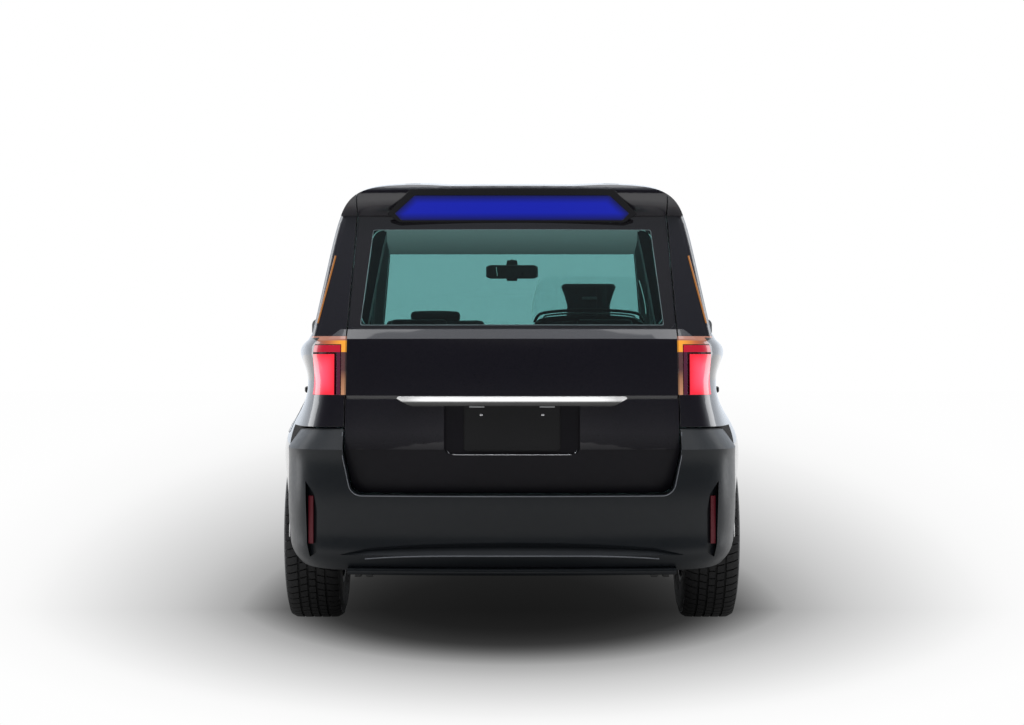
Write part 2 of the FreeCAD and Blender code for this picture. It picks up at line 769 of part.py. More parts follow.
def body_sides(forms):
    roof_room = block(-10, ROOF_SPLIT + SEAT_GAP, -1848, 1200, 1440, 1800)
    side = forms.shell.fuse(forms.blade.common(block(500, 800, -2400, -1800, 1400, 1800)))
    side = side.cut([
        side_prism(FRONT_DOOR, 400, 950, 0.0, SHUT_GAP),
        side_prism(REAR_DOOR, 400, 950, 0.0, SHUT_GAP),
        block(300, 950, -40, 0, 257, 1585),
        block(400, 950, 930, 940 + HINGE_GAP, 342, 1064),
        roof_room,
        block(-10, 950, -2400, BUMPER_FRONT_Y + SEAT_GAP, 100, 733),
        block(-10, 950, -2400, -1500, 100, 330),
        block(-10, 950, 940 + HINGE_GAP, 1300, 100, 1040),
        block(742, 950, 940 + HINGE_GAP, 1300, 1039, 1068.5),
        block(-10, 640, 900, 1400, 1000, 1090),
        forms.gate_room,
        tail_lamp_room(0.0),
        wheel_arch(Y_REAR_AXLE),
        forms.screen_seat,
        forms.screen_hole,
    ])
    side = glaze(side, QUARTER_GLASS, forms)
    side = side.fuse([post_b().cut(roof_room), post_a()] + [hinge_arm(y, z) for y, z in FRONT_HINGES])
    left = mirrored(biggest(side)).cut(rail_groove())
    side = side.fuse([hinge_arm(y, z) for y, z in REAR_HINGES])
    export("body_side_right", biggest(side))
    export("body_side_left", biggest(left))


def gate_ears():
    """The gate's two hinge ears, the room they turn in and the roof's pins that hold them."""
    ears = []
    rooms = []
    pins = []
    half = GATE_EAR_W / 2
    for x in (-GATE_EAR_X, GATE_EAR_X):
        ears.append(cross_rod(2 * GATE_PIN_R, x - half, x + half, GATE_Y, GATE_Z))
        ears.append(block(x - half, x + half, GATE_Y - GATE_R - 20, GATE_Y, GATE_Z - 10, GATE_Z + 4))
        rooms.append(cross_rod(GATE_R + POST_GAP, x - half - 5, x + half + 5, GATE_Y, GATE_Z))
        rooms.append(block(x - half - 5, x + half + 5, GATE_Y - 60, GATE_Y + 6, GATE_Z, GATE_Z + 60))
        pins.append(cross_rod(GATE_PIN_R, x - half - 13, x + half + 13, GATE_Y, GATE_Z))
    return ears, rooms, pins


def roof_panel(forms):
    ears, rooms, pins = gate_ears()
    roof = forms.upper.common(block(-ROOF_SPLIT, ROOF_SPLIT, GATE_Y, 1200, 1440, 1800)).cut(forms.upper_room)
    doors = []
    for outline in (FRONT_DOOR, REAR_DOOR):
        doors += [side_prism(outline, x, x + 550, 0.0, SHUT_GAP) for x in (-950, 400)]
    bead = cross_rod(GATE_R, -520, 520, GATE_Y, GATE_Z).common(forms.tunnel)
    bead = bead.cut(block(-600, 600, GATE_Y, 0, 0, 2000))
    roof = roof.cut(doors).cut([forms.screen_seat, forms.screen_hole]).fuse(bead)
    export("roof_panel", biggest(roof.cut(Part.makeCompound(rooms)).fuse(Part.makeCompound(pins))))


# Tailgate

def garnish_bar(gap=0.0):
    """The bright bar above the number plate, which follows the tail's curve."""
    slab = crowned_slab(GARNISH_BACK_Y - GARNISH_T - 60 * (gap > 0), GARNISH_BACK_Y + gap, 420, 780, 860)
    return end_prism(GARNISH, -2300, -2000, 0.0, gap).common(slab)


def gate_line():
    """The dark line pressed across the gate at the height of the bright bar."""
    z = GATE_LINE_Z
    half, tail = table(BODY_LEVELS, 1, z), table(BODY_LEVELS, 2, z)
    right = tail_layer(0, 620, z - GATE_LINE_H / 2, z + GATE_LINE_H / 2, half, tail, GATE_LINE_DEPTH)
    return [right, mirrored(right)]


def tailgate(forms):
    low = forms.rear.common(forms.gate_zone).cut([forms.rear_room, forms.upper_room])
    ahead = block(-700, 700, -2300, GATE_Y, 1040, 1800)
    top = forms.upper.common(forms.gate_zone).common(ahead).cut(forms.upper_room)
    gate = low.fuse([top, forms.blade.common(forms.gate_zone)])
    under = block(-700, 700, -2300, -1950, 400, GATE_CREASE_Z).cut(ahead_of(undercut_y, 350, 700))
    rebate = end_prism(TAIL_GLASS, -2400, -1700, 0.0, GLASS_GAP).cut(ahead_of_tail(GLASS_T + GLASS_GAP))
    rebate = rebate.cut(block(-800, 800, -2400, -1700, SPOILER_LOW_Z, 1800))
    gate = gate.cut([under, rebate, end_prism(TAIL_VIEW, -2400, -1700)])
    gate = gate.cut(cross_rod(GATE_R + POST_GAP, -700, 700, GATE_Y, GATE_Z))
    ears, rooms, pins = gate_ears()
    reach = GATE_EAR_W / 2 + 20
    holes = []
    for x in (-GATE_EAR_X, GATE_EAR_X):
        holes.append(cross_rod(GATE_PIN_R + RUN_GAP, x - reach, x + reach, GATE_Y, GATE_Z))
    gate = gate.fuse(Part.makeCompound(ears)).cut(Part.makeCompound(holes))
    gate = gate.cut([
        end_prism(SIGN, -2100, SIGN_BACK_Y + PANEL_GAP, 0.0, SEAT_GAP),
        end_prism(PLATE_ROOM, -2300, PLATE_Y),
        garnish_bar(SEAT_GAP),
    ] + gate_line())
    export("tailgate", biggest(gate))
    export("garnish", garnish_bar())
    glass = forms.upper.common(end_prism(TAIL_GLASS, -2400, -1700)).cut(ahead_of_tail(GLASS_T))
    export("glass_tailgate", biggest(glass))


def rear_sign():
    """The lit sign under the spoiler: a box whose face follows the spoiler, with a sunk panel."""
    body = end_prism(SIGN, -2100, SIGN_BACK_Y).common(ahead_of(spoiler_y, 1400, 1700, SIGN_SINK))
    sunk = end_prism(SIGN_LENS, -2100, -1900).cut(ahead_of(spoiler_y, 1400, 1700, SIGN_SINK + SIGN_DEPTH))
    export("sign_rear", biggest(body.cut(sunk)))


# Tail lamps and rear bumper

def rear_lamps(forms):
    """Two corner lamps with stepped lenses, and two slim reflectors in the bumper."""
    lamp = forms.shell.common(tail_lamp_room(SEAT_GAP)).cut(forms.gate_room)
    low = table(BODY_LEVELS, 1, 940), table(BODY_LEVELS, 2, 940)
    floor = tail_layer(560, 725, LAMP_LOW_Z - 1, LAMP_HIGH_Z, low[0], low[1], LAMP_GROOVE_DEPTH)
    for x0, x1, z0, z1 in LAMP_GROOVES:
        upright = block(x0, x1, -2300, -1900, LAMP_LOW_Z - 1, z1)
        level = block(x0, 760, -2300, -1900, z0, z1)
        lamp = lamp.cut(upright.fuse(level).common(floor))
    half, tail = BUMPER_LEVELS[3][1], Y_TAIL + BUMPER_LEVELS[3][2]
    back = tail_layer(600, 740, 250, 600, half, tail, REFLECTOR_DEPTH)
    face = tail_layer(600, 740, 250, 600, half, tail, REFLECTOR_DEPTH - REFLECTOR_T)
    lens = end_prism(REFLECTOR, -2300, -1950).common(back).cut(face)
    export("lamps_rear", Part.makeCompound([biggest(lamp), mirrored(biggest(lamp)), lens, mirrored(lens)]))


def scoop():
    """The crescent pressed into the bumper above its lip."""
    rings = []
    for x in spaced(-SCOOP_HALF, SCOOP_HALF, 13):
        share = math.sqrt(max(0.004, 1 - (x / SCOOP_HALF) ** 2))
        high = SCOOP_Z + SCOOP_H * share
        y = tail_skin_y(abs(x) + 0.01, BUMPER_LEVELS[2][1], Y_TAIL + BUMPER_LEVELS[2][2])
        deep = (SCOOP_DEPTH * share, high - 0.3 * (high - SCOOP_Z))
        section = [(-60, SCOOP_Z), (-60, high), (2, high), deep, (1, SCOOP_Z)]
        rings.append(rounded(section, lambda u, z: V(x, y + u, z)))
    return Part.makeLoft(rings, True, True)


def rear_bumper(forms):
    rings = [plan_ring(z, half, Y_TAIL + back, 1500, 0.0, False) for z, half, back in BUMPER_LEVELS]
    z, half, back = BUMPER_TOP
    shoulder = Part.makeLoft([rings[-1], plan_ring(z, half, Y_TAIL + back, 1500, 0.0, False)], True, True)
    body = Part.makeLoft(rings, True, False).fuse(shoulder)
    body = body.common(block(-1000, 1000, -2300, BUMPER_FRONT_Y, 0, 800))
    half = BUMPER_LEVELS[-1][1]
    inner = [plan_ring(z, half, Y_TAIL + 6, 1400, BUMPER_WALL, False) for z in (200, 760)]
    core = Part.makeLoft(inner, True, True).common(block(-1000, 1000, -2300, -1700, 0, 900))
    body = body.cut(core).cut([forms.gate_room, scoop()])
    half, tail = BUMPER_LEVELS[3][1], Y_TAIL + BUMPER_LEVELS[3][2]
    depth = REFLECTOR_DEPTH + SEAT_GAP
    slot = end_prism(REFLECTOR_SLOT, -2300, -1950).common(tail_layer(600, 740, 250, 600, half, tail, depth))
    export("bumper_rear", biggest(body.cut([slot, mirrored(slot)])))


# Front end

def hood_prism(grow):
    ahead = 2010 + HOOD_SWING * grow
    arc = Part.Arc(V(-610, 1215 - grow, 0), V(0, 1318 - grow, 0), V(610, 1215 - grow, 0)).toShape()
    nose = Part.Arc(V(560 + grow, ahead, 0), V(0, ahead + 76, 0), V(-560 - grow, ahead, 0)).toShape()
    right = Part.LineSegment(V(610 + grow, 1215 - grow, 0), V(560 + grow, ahead, 0)).toShape()
    left = Part.LineSegment(V(-560 - grow, ahead, 0), V(-610 - grow, 1215 - grow, 0)).toShape()
    loop = [arc, right, nose, left]
    if grow:
        loop.insert(1, Part.LineSegment(V(610, 1215 - grow, 0), V(610 + grow, 1215 - grow, 0)).toShape())
        loop.append(Part.LineSegment(V(-610 - grow, 1215 - grow, 0), V(-610, 1215 - grow, 0)).toShape())
    return Part.Face(Part.Wire(loop)).extrude(V(0, 0, 1200))


def headlamp_room(gap):
    outline = [(410, 712 + gap, 30), (900, 770 + gap), (900, 905 - gap), (410, 812 - gap, 30)]
    side = [(2300, 600), (1900 + gap, 700), (1790 + gap, 1000), (2300, 1000)]
    return end_prism(outline, 1700, 2300).common(side_prism(side, 300, 950))


def nose_zone(gap=0.0):
    """What the front bumper and the nose panel take from the front shell."""
    x, y, z = NOSE_ZONE_X + gap, NOSE_ZONE_Y - gap, NOSE_ZONE_TOP + gap
    return [block(-950, 950, y, 2400, 0, z), block(-x, x, y, 2400, z - 40, 1200)]


def hood_and_fenders(forms):
    hood = forms.front.common(hood_prism(0.0)).cut(front_form(HOOD_WALL))
    for x in (-HOOD_PIN_X, HOOD_PIN_X):
        hood = hood.fuse(cross_rod(12, x - 33, x + 33, HOOD_PIN_Y, HOOD_PIN_Z))
        hood = hood.cut(cross_rod(HOOD_PIN_R + RUN_GAP, x - 40, x + 40, HOOD_PIN_Y, HOOD_PIN_Z))
    export("hood", biggest(hood))
    fender = forms.nose_shell.common(block(0, 950, 1100, 2400, 0, 1200))
    behind = forms.low_shell.common(block(400, 950, 940 + HINGE_GAP, HOOD_START_Y, SILL_Z, 1068.5))
    fender = fender.fuse(behind.cut(post_a(POST_GAP)))
    cowl_zone = behind_screen(-3).common(block(-1, 640.5, 900, 1500, 985, 1200))
    fender = fender.cut([
        block(0, 742.5, 900, HOOD_START_Y + 1, 1039, 1100),
        block(-1, 618, 900, 1330, WIPER_WELL_Z, 1100),
        block(0, 950, 1500, 2400, 100, 330),
        cowl_zone,
        hood_prism(SHUT_GAP),
        wheel_arch(Y_FRONT_AXLE),
        headlamp_room(0.0),
    ] + nose_zone(PANEL_GAP))
    fender = fender.fuse(cross_rod(HOOD_PIN_R, 545, 665, HOOD_PIN_Y, HOOD_PIN_Z))
    export("fenders", both(biggest(fender)))
    lamp = forms.nose_shell.common(headlamp_room(SEAT_GAP)).cut(hood_prism(SHUT_GAP))
    export("headlamps", both(biggest(lamp.cut(nose_zone(PANEL_GAP)))))


def front_bumper(forms):
    zone = nose_zone()
    nose = forms.nose_shell.common(zone[0].fuse(zone[1])).cut(hood_prism(SHUT_GAP))
    arch = wheel_arch(Y_FRONT_AXLE)
    nose = nose.cut([
        arch,
        mirrored(arch),
        end_prism(UPPER_GRILLE, 1900, 2400),
        end_prism(LOWER_GRILLE, 1900, 2400),
        end_prism(FRONT_PLATE, FRONT_PLATE_Y, 2400),
    ])
    export("bumper_front", biggest(nose))


def grilles(forms):
    """Two open grilles: a frame round tilted vanes, tied by upright posts."""
    skin = forms.nose_shell.cut(front_form(GRILLE_DEPTH))
    back, face = 1900, 2200
    rise = GRILLE_TILT * (face - back)
    found = []
    for outline in (UPPER_GRILLE, LOWER_GRILLE):
        low, high = outline[0][1], outline[1][1]
        area = skin.common(end_prism(outline, back, face, 0.0, -SEAT_GAP))
        frame = end_prism(outline, back, face).cut(end_prism(outline, back, face, 0.0, -GRILLE_FRAME))
        vanes = []
        count = int((high - low) / GRILLE_PITCH)
        for i in range(1, count):
            z = low + (high - low) * i / count - GRILLE_TILT * (face - Y_NOSE)
            corners = [(back, z + rise), (back, z + rise + GRILLE_VANE), (face, z + GRILLE_VANE), (face, z)]
            vanes.append(side_prism(corners, -600, 600))
        posts = [block(x - 3, x + 3, back, face, low, high) for x in GRILLE_POSTS]
        lattice = frame.fuse(posts + [vane.cut(posts) for vane in vanes])
        found.append(biggest(area.common(lattice)))
    export("grille", Part.makeCompound(found))


# Floor and cowl

def floor_pan():
    """One pan: cabin floor, load floor, riser, firewall, wheel houses and front rails."""
    plan = rear_form(DOOR_WALL + 2)
    nose = front_form(FENDER_WALL + 1)
    wall_y = FIREWALL_Y + FIREWALL_T
    base = plan.common(block(-900, 900, -960, wall_y, FLOOR_Z, FLOOR_Z + FLOOR_T))
    base = base.fuse([
        plan.common(block(-900, 900, -2048, -915, LOAD_FLOOR_Z, LOAD_FLOOR_Z + FLOOR_T)),
        plan.common(block(-900, 900, -960, -915, FLOOR_Z, LOAD_FLOOR_Z + FLOOR_T)),
        plan.common(block(-900, 900, FIREWALL_Y, wall_y, FLOOR_Z, 1000)),
    ])
    drums = []
    rooms = []
    for y, inner, low in ((Y_REAR_AXLE, 585, LOAD_FLOOR_Z), (Y_FRONT_AXLE, 435, 170)):
        drum = cross_rod(WELL_R + HOUSE_T, inner - HOUSE_T, 800, y, TYRE_R)
        drum = drum.common(block(0, 950, y - 500, y + 500, low, 1000))
        parts = [drum.common(plan)]
        if y > 0:
            parts.append(drum.common(nose))
        room = cross_rod(WELL_R, inner, 1000, y, TYRE_R)
        drums += parts + [mirrored(p) for p in parts]
        rooms += [room, mirrored(room)]
    near = [post_a(POST_GAP), post_b(POST_GAP)]
    base = base.fuse(drums).cut(rooms + near + [mirrored(p) for p in near])
    rails = [block(x - 40, x + 40, FIREWALL_Y + 27, 2010, 330, 430) for x in (-385, 385)]
    export("floor_pan", biggest(base.fuse(rails)))


def cowl(forms):
    panel = forms.upper.common(block(-639.5, 639.5, 950, 1400, 1000, 1089)).cut(forms.upper_room)
    export("cowl", biggest(panel.cut([forms.screen_seat, forms.screen_hole])))
    glass = forms.upper.common(end_prism(SCREEN, 300, 1400)).cut(behind_screen(GLASS_T))
    export("windshield", biggest(glass))


# Wheels and running gear

def tyre_shape():
    half = TYRE_W / 2
    return revolved([
        (-half + 10, RIM_R - RIM_LIP), (-half, 262, 50), (-half + 4, TYRE_R - 12, 12), (-half + 26, TYRE_R, 30),
        (half - 26, TYRE_R, 30), (half - 4, TYRE_R - 12, 12), (half, 262, 50), (half - 10, RIM_R - RIM_LIP),
    ])


def rim_shape():
    """A cast rim whose dished face has a window between each two spokes."""
    half = TYRE_W / 2
    r = RIM_R - RIM_LIP - SEAT_GAP / 2
    inner = [(half - 10, r - 14), (half - 40, r - 22), (-half + 10, r - 22)]
    barrel = revolved([(-half + 10, r), (half - 10, r)] + inner)
    hub = [(58, 28), (58, 0.0), (20, 0.0), (20, 70)]
    disc = revolved([(38, r - 10), (52, r - 10), (68, 120), (66, 70)] + hub)
    bore = rod(SPINDLE_R + RUN_GAP, V(-200, 0, 0), V(SPINDLE_REACH + 2, 0, 0))
    window = side_prism([(-15, 84, 6), (15, 84, 6), (27, 152, 9), (-27, 152, 9)], 0, 120)
    windows = [window.rotated(V(0, 0, 0), ACROSS, 360 * i / SPOKES) for i in range(SPOKES)]
    return barrel.fuse(disc).cut(bore).cut(Part.makeCompound(windows))


def wheels():
    shapes = {"tyre": tyre_shape(), "rim": rim_shape()}
    for name, x, y in WHEELS:
        for kind, shape in shapes.items():
            part = shape if x > 0 else mirrored(shape)
            export(kind + "_" + name, part.translated(V(x, y, TYRE_R)))


def front_knuckles():
    """Each front wheel's knuckle on its kingpin, and the fixed arms that hold the pin."""
    x, y = KINGPIN_X, Y_FRONT_AXLE
    upright = block(x - 17, x + 17, y - 26, y + 26, TYRE_R - 84, TYRE_R + 84)
    collar = cross_rod(34, x - 16, x + 48, y, TYRE_R)
    spindle = cross_rod(SPINDLE_R, x, WHEEL_X + SPINDLE_REACH, y, TYRE_R)
    pin = rod(KINGPIN_R, V(x, y, TYRE_R - 125), V(x, y, TYRE_R + 125))
    knuckle = upright.fuse([collar, spindle, pin])
    export("knuckle_right", knuckle)
    export("knuckle_left", mirrored(knuckle))
    tower = block(435.3, 520, y - 50, y + 50, 190, 560)
    for z in (TYRE_R - 125, TYRE_R + 90):
        arm = block(500, x, y - 22, y + 22, z, z + 35)
        tower = tower.fuse([arm, rod(30, V(x, y, z), V(x, y, z + 35))])
    tower = tower.cut(rod(KINGPIN_R + RUN_GAP, V(x, y, 100), V(x, y, 600)))
    export("suspension_front", both(tower))


def rear_axle():
    y = Y_REAR_AXLE
    reach = WHEEL_X + SPINDLE_REACH
    hubs = [cross_rod(60, x, x + 50, y, TYRE_R) for x in (-600, 550)]
    axle = cross_rod(38, -560, 560, y, TYRE_R).fuse([cross_rod(SPINDLE_R, -reach, reach, y, TYRE_R)] + hubs)
    for x in (-520, 520):
        axle = axle.fuse(block(x - 30, x + 30, y, -985, TYRE_R - 30, TYRE_R + 20))
        axle = axle.fuse(block(x - 30, x + 30, -1030, -985, TYRE_R - 30, LOAD_FLOOR_Z - PANEL_GAP))
    export("axle_rear", axle)


def engine_and_exhaust():
    motor = block(-320, 320, 1130, 1780, 320, 820)
    motor = motor.makeFillet(30, motor.Edges)
    export("engine", motor.fuse(block(-344.7, 344.7, 1300, 1420, 345, 405)))
    can = block(-420, -180, -2050, -1700, 262, 420)
    can = can.makeFillet(40, [e for e in can.Edges if abs(e.BoundBox.YLength - 350) < 1])
    pipe = rod(24, V(-300, -1760, 300), V(-300, -2090, 262))
    hangers = [block(x - 12, x + 12, -1900, -1860, 400, LOAD_FLOOR_Z - SEAT_GAP) for x in (-380, -220)]
    export("exhaust", can.fuse([pipe] + hangers))


# Cabin

def front_seat(x, rest):
    """A seat on its frame; its head rest is an outline in (x, z) about the seat's middle."""
    floor = FLOOR_Z + FLOOR_T + SEAT_GAP
    cushion = [(-60, 400, 40), (430, 370, 30), (430, 500, 40), (-60, 530, 20)]
    base = side_prism(cushion, x - SEAT_HALF, x + SEAT_HALF)
    foot = block(x - 190, x + 190, 0, 380, floor, 420)
    back = side_prism([(-130, 400), (40, 400, 40), (-40, SEAT_TOP_Z, 30), (-150, SEAT_TOP_Z, 30)],
                      x - SEAT_HALF, x + SEAT_HALF)
    sides = [e for e in back.Edges if e.BoundBox.XLength < 1 and e.BoundBox.ZMax > 900]
    back = back.makeFillet(22, sides)
    head = end_prism([(x + u, z, r) for u, z, r in rest], -140, -60)
    return base.fuse([foot, back, head])


def seats():
    low = SEAT_TOP_Z - 30
    tall_rest = two_sided([(100, low, 0), (100, 1201, 12), (129, 1311, 16)])
    short_rest = two_sided([(112, low, 0), (118, 1184, 14)])
    export("seats_front", Part.makeCompound([front_seat(SEAT_X, tall_rest), front_seat(-SEAT_X, short_rest)]))
    floor = FLOOR_Z + FLOOR_T + SEAT_GAP
    base = side_prism([(-880, floor), (-420, floor), (-400, 520, 50), (-880, 540)], -BENCH_HALF, BENCH_HALF)
    back = side_prism([(-905, 510), (-750, 510, 40), (-800, BENCH_TOP_Z, 30), (-905, BENCH_TOP_Z, 20)],
                      -BENCH_HALF, BENCH_HALF)
    rests = []
    for x in (-BENCH_REST_X, BENCH_REST_X):
        section = [(-900, 1080), (-820, 1080), (-828, 1134, 20), (-892, 1134, 20)]
        rests.append(side_prism(section, x - 118, x + 118))
    export("seat_rear", base.fuse([back] + rests))


def driver_screen():
    """A clear screen, curved in plan, behind the driver and hung on the seat's back."""
    half = [(250, 900), (246, 1178), (215, SCREEN_TOP_Z, 60)]
    outline = [(SEAT_X + u, z, *r) for u, z, *r in two_sided(half)]
    plan = []
    for y in (-215.0, -215.0 + SCREEN_T):
        plan.append(Part.Arc(V(75, y + 65, 850), V(SEAT_X, y, 850), V(595, y + 65, 850)).toShape())
    for x in (75, 595):
        plan.append(Part.LineSegment(V(x, -150, 850), V(x, -150 + SCREEN_T, 850)).toShape())
    curved = Part.Face(Part.Wire([plan[0], plan[3], plan[1], plan[2]])).extrude(V(0, 0, 600))
    shield = curved.common(end_prism(outline, -300, 0))
    for x in (SEAT_X - 200, SEAT_X + 200):
        shield = shield.fuse(block(x - 14, x + 14, -172, -144.6, 915, 945))
    export("driver_screen", shield)


def dashboard():
    back = FIREWALL_Y - SEAT_GAP
    dash = side_prism([(back, 620), (760, 620), (740, 860), (800, 985), (back, 995)],
                      -640, 640, 40)
    tilt = math.radians(HAND_WHEEL_TILT)
    toward = V(0, -math.sin(tilt), math.cos(tilt))
    column = rod(24, HAND_WHEEL - toward * 40, HAND_WHEEL - toward * 280)
    shaft = rod(SHAFT_R, HAND_WHEEL + toward * 8, HAND_WHEEL - toward * 60)
    export("dashboard", dash.fuse([column, shaft]))
    wheel = Part.makeTorus(HAND_WHEEL_R, 15)
    spokes = [block(30, HAND_WHEEL_R - 2, -16, 16, -12, 4).rotated(V(0, 0, 0), UP, a) for a in (0, 180, 270)]
    wheel = wheel.fuse([Part.makeCylinder(44, 40, V(0, 0, -32))] + spokes)
    wheel = wheel.cut(Part.makeCylinder(SHAFT_R + RUN_GAP, 60, V(0, 0, -50)))
    export("steering_wheel", wheel.rotated(V(0, 0, 0), ACROSS, HAND_WHEEL_TILT).translated(HAND_WHEEL))


def mirrors_and_front_sign(forms):
    inside = block(-124, 124, 700, 740, 1358, 1415)
    inside = inside.makeFillet(12, inside.Edges)
    boss = rod(28, V(0, 716, 1387), V(0, 744, 1387))
    export("mirror_inside", inside.fuse([boss, rod(8, V(0, 730, 1395), V(0, 793, 1443.9))]))
    y = 850.0
    arm = block(skin_x(y, 1000), 880, y - 30, y + 10, 985, 1015).cut(forms.rear)
    pod = block(845, 965, y - 60, y + 30, 985, 1165)
    pod = pod.makeFillet(30, pod.Edges)
    export("mirror_right", arm.fuse(pod))
    export("mirror_left", mirrored(arm.fuse(pod)))
    cover = forms.upper.translated(V(0, 0, SEAT_GAP))
    sign = end_prism(two_sided([(300, 1630), (330, 1668), (250, HEIGHT)]), 470, 560).cut(cover)
    export("sign_front", biggest(sign))


def build():
    os.makedirs("parts", exist_ok=True)
    forms = Forms()
    side_doors(forms)
    body_sides(forms)
    roof_panel(forms)
    tailgate(forms)
    rear_sign()
    rear_lamps(forms)
    rear_bumper(forms)
    hood_and_fenders(forms)
    front_bumper(forms)
    grilles(forms)
    floor_pan()
    cowl(forms)
    wheels()
    front_knuckles()
    rear_axle()
    engine_and_exhaust()
    seats()
    driver_screen()
    dashboard()
    mirrors_and_front_sign(forms)


if __name__ == "__main__":
    build()
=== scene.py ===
import json
import math

import bmesh
import bpy
from mathutils import Matrix, Vector
from mathutils.bvhtree import BVHTree


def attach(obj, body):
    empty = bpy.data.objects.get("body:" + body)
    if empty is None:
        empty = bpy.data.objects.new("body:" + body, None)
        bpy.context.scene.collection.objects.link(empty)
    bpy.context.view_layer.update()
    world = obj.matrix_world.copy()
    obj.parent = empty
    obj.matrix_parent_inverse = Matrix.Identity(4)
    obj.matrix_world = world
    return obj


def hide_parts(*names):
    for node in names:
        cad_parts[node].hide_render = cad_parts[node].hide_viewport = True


# The cab in metres: +X its right hand side, +Y forward, +Z up from the ground.
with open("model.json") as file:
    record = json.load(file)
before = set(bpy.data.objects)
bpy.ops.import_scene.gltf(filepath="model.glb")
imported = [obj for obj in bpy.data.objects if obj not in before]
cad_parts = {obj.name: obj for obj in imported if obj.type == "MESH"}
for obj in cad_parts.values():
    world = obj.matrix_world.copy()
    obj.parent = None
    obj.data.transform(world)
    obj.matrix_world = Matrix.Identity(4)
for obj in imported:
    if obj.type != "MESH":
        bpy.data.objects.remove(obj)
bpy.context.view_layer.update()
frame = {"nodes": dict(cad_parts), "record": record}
NODES = frame["nodes"]

# The photograph's standpoint: straight behind the cab, at chest height
CAMERA_AT = (0.0, -9.175, 0.954)
CAMERA_LENS = 72.8
CAMERA_SENSOR = 36.0

# Sizes shared with the solids
TYRE_R = 0.32
WHEEL_X = 0.725
AXLES = {"front": 1.365, "rear": -1.385}
SIDES = {"right": 1.0, "left": -1.0}
SEAT_X = 0.335
SEAT_HALF = 0.222
BENCH_HALF = 0.548
BENCH_REST_X = 0.372
FLOOR_TOP = 0.2505
HAND_WHEEL = Vector((0.36, 0.56, 0.945))
WHEEL_TILT = math.radians(62)
HANDLE_Z = 0.846
WAIST_Z = 1.088
PLATE_HALF = 0.165
PLATE_Y = -2.1085
RECESS = (0.232, 0.638, 0.823)
GARNISH_LOW = 0.803
GARNISH_H = 0.037
LINING_LOW = 1.445
LAMP_SPLIT_Z = 0.99
HEAD_LAMP_Z = 0.79

# Where lines that look for a skin start: behind the cab, beside it, ahead of it, over it
BEHIND, BESIDE, AHEAD, OVERHEAD = -4.0, 1.5, 4.0, 3.0


def two_sided(corners):
    """A right-hand outline closed by its mirror image."""
    return list(corners) + [(-c[0],) + tuple(c[1:]) for c in reversed(corners)]


FRONT_GLASS = [(-0.012, 1.078, 0.016), (0.928, 1.078, 0.014), (0.354, 1.548, 0.036), (-0.012, 1.548, 0.016)]
REAR_GLASS = [(-0.04, 1.078, 0.016), (-0.04, 1.548, 0.016), (-0.95, 1.538, 0.036), (-0.95, 1.078, 0.03)]
QUARTER_GLASS = [(-0.985, 1.088, 0.024), (-0.985, 1.53, 0.036), (-1.7, 1.5, 0.08), (-1.83, 1.12, 0.06)]
TAIL_VIEW = two_sided([(0.524, 1.082), (0.485, 1.418)])
SCREEN = two_sided([(0.672, 1.07), (0.588, 1.61)])
SIGN_HALF = [(0.386, 1.4495), (0.407, 1.472), (0.337, 1.531)]
SURROUND_HALF = [(0.392, 1.4415), (0.434, 1.471), (0.350, 1.553)]
FRONT_SIGN = two_sided([(0.27, 1.642), (0.235, 1.69)])
LIT_BLOCK = [(0.612, 0.845), (0.705, 0.845), (0.700, 0.983), (0.612, 0.983)]


# Shader writing

class Wire:
    """A shader socket that takes part in sums."""

    def __init__(self, mat, socket):
        self.mat = mat
        self.socket = socket

    def sum(self, kind, *others):
        return self.mat.node("ShaderNodeMath", {"operation": kind}, [self] + list(others))

    def turned(self, kind, other):
        """A sum that takes this value second."""
        return self.mat.node("ShaderNodeMath", {"operation": kind}, [other, self])

    def __add__(self, other):
        return self.sum("ADD", other)

    def __mul__(self, other):
        return self.sum("MULTIPLY", other)

    def __sub__(self, other):
        return self.sum("SUBTRACT", other)

    def __rsub__(self, other):
        return self.turned("SUBTRACT", other)

    def __truediv__(self, other):
        return self.sum("DIVIDE", other)

    def __rtruediv__(self, other):
        return self.turned("DIVIDE", other)

    def over(self, other):
        return self.sum("GREATER_THAN", other)

    def under(self, other):
        return self.sum("LESS_THAN", other)

    def size(self):
        return self.sum("ABSOLUTE")

    def most(self, other):
        return self.sum("MAXIMUM", other)

    __radd__ = __add__
    __rmul__ = __mul__


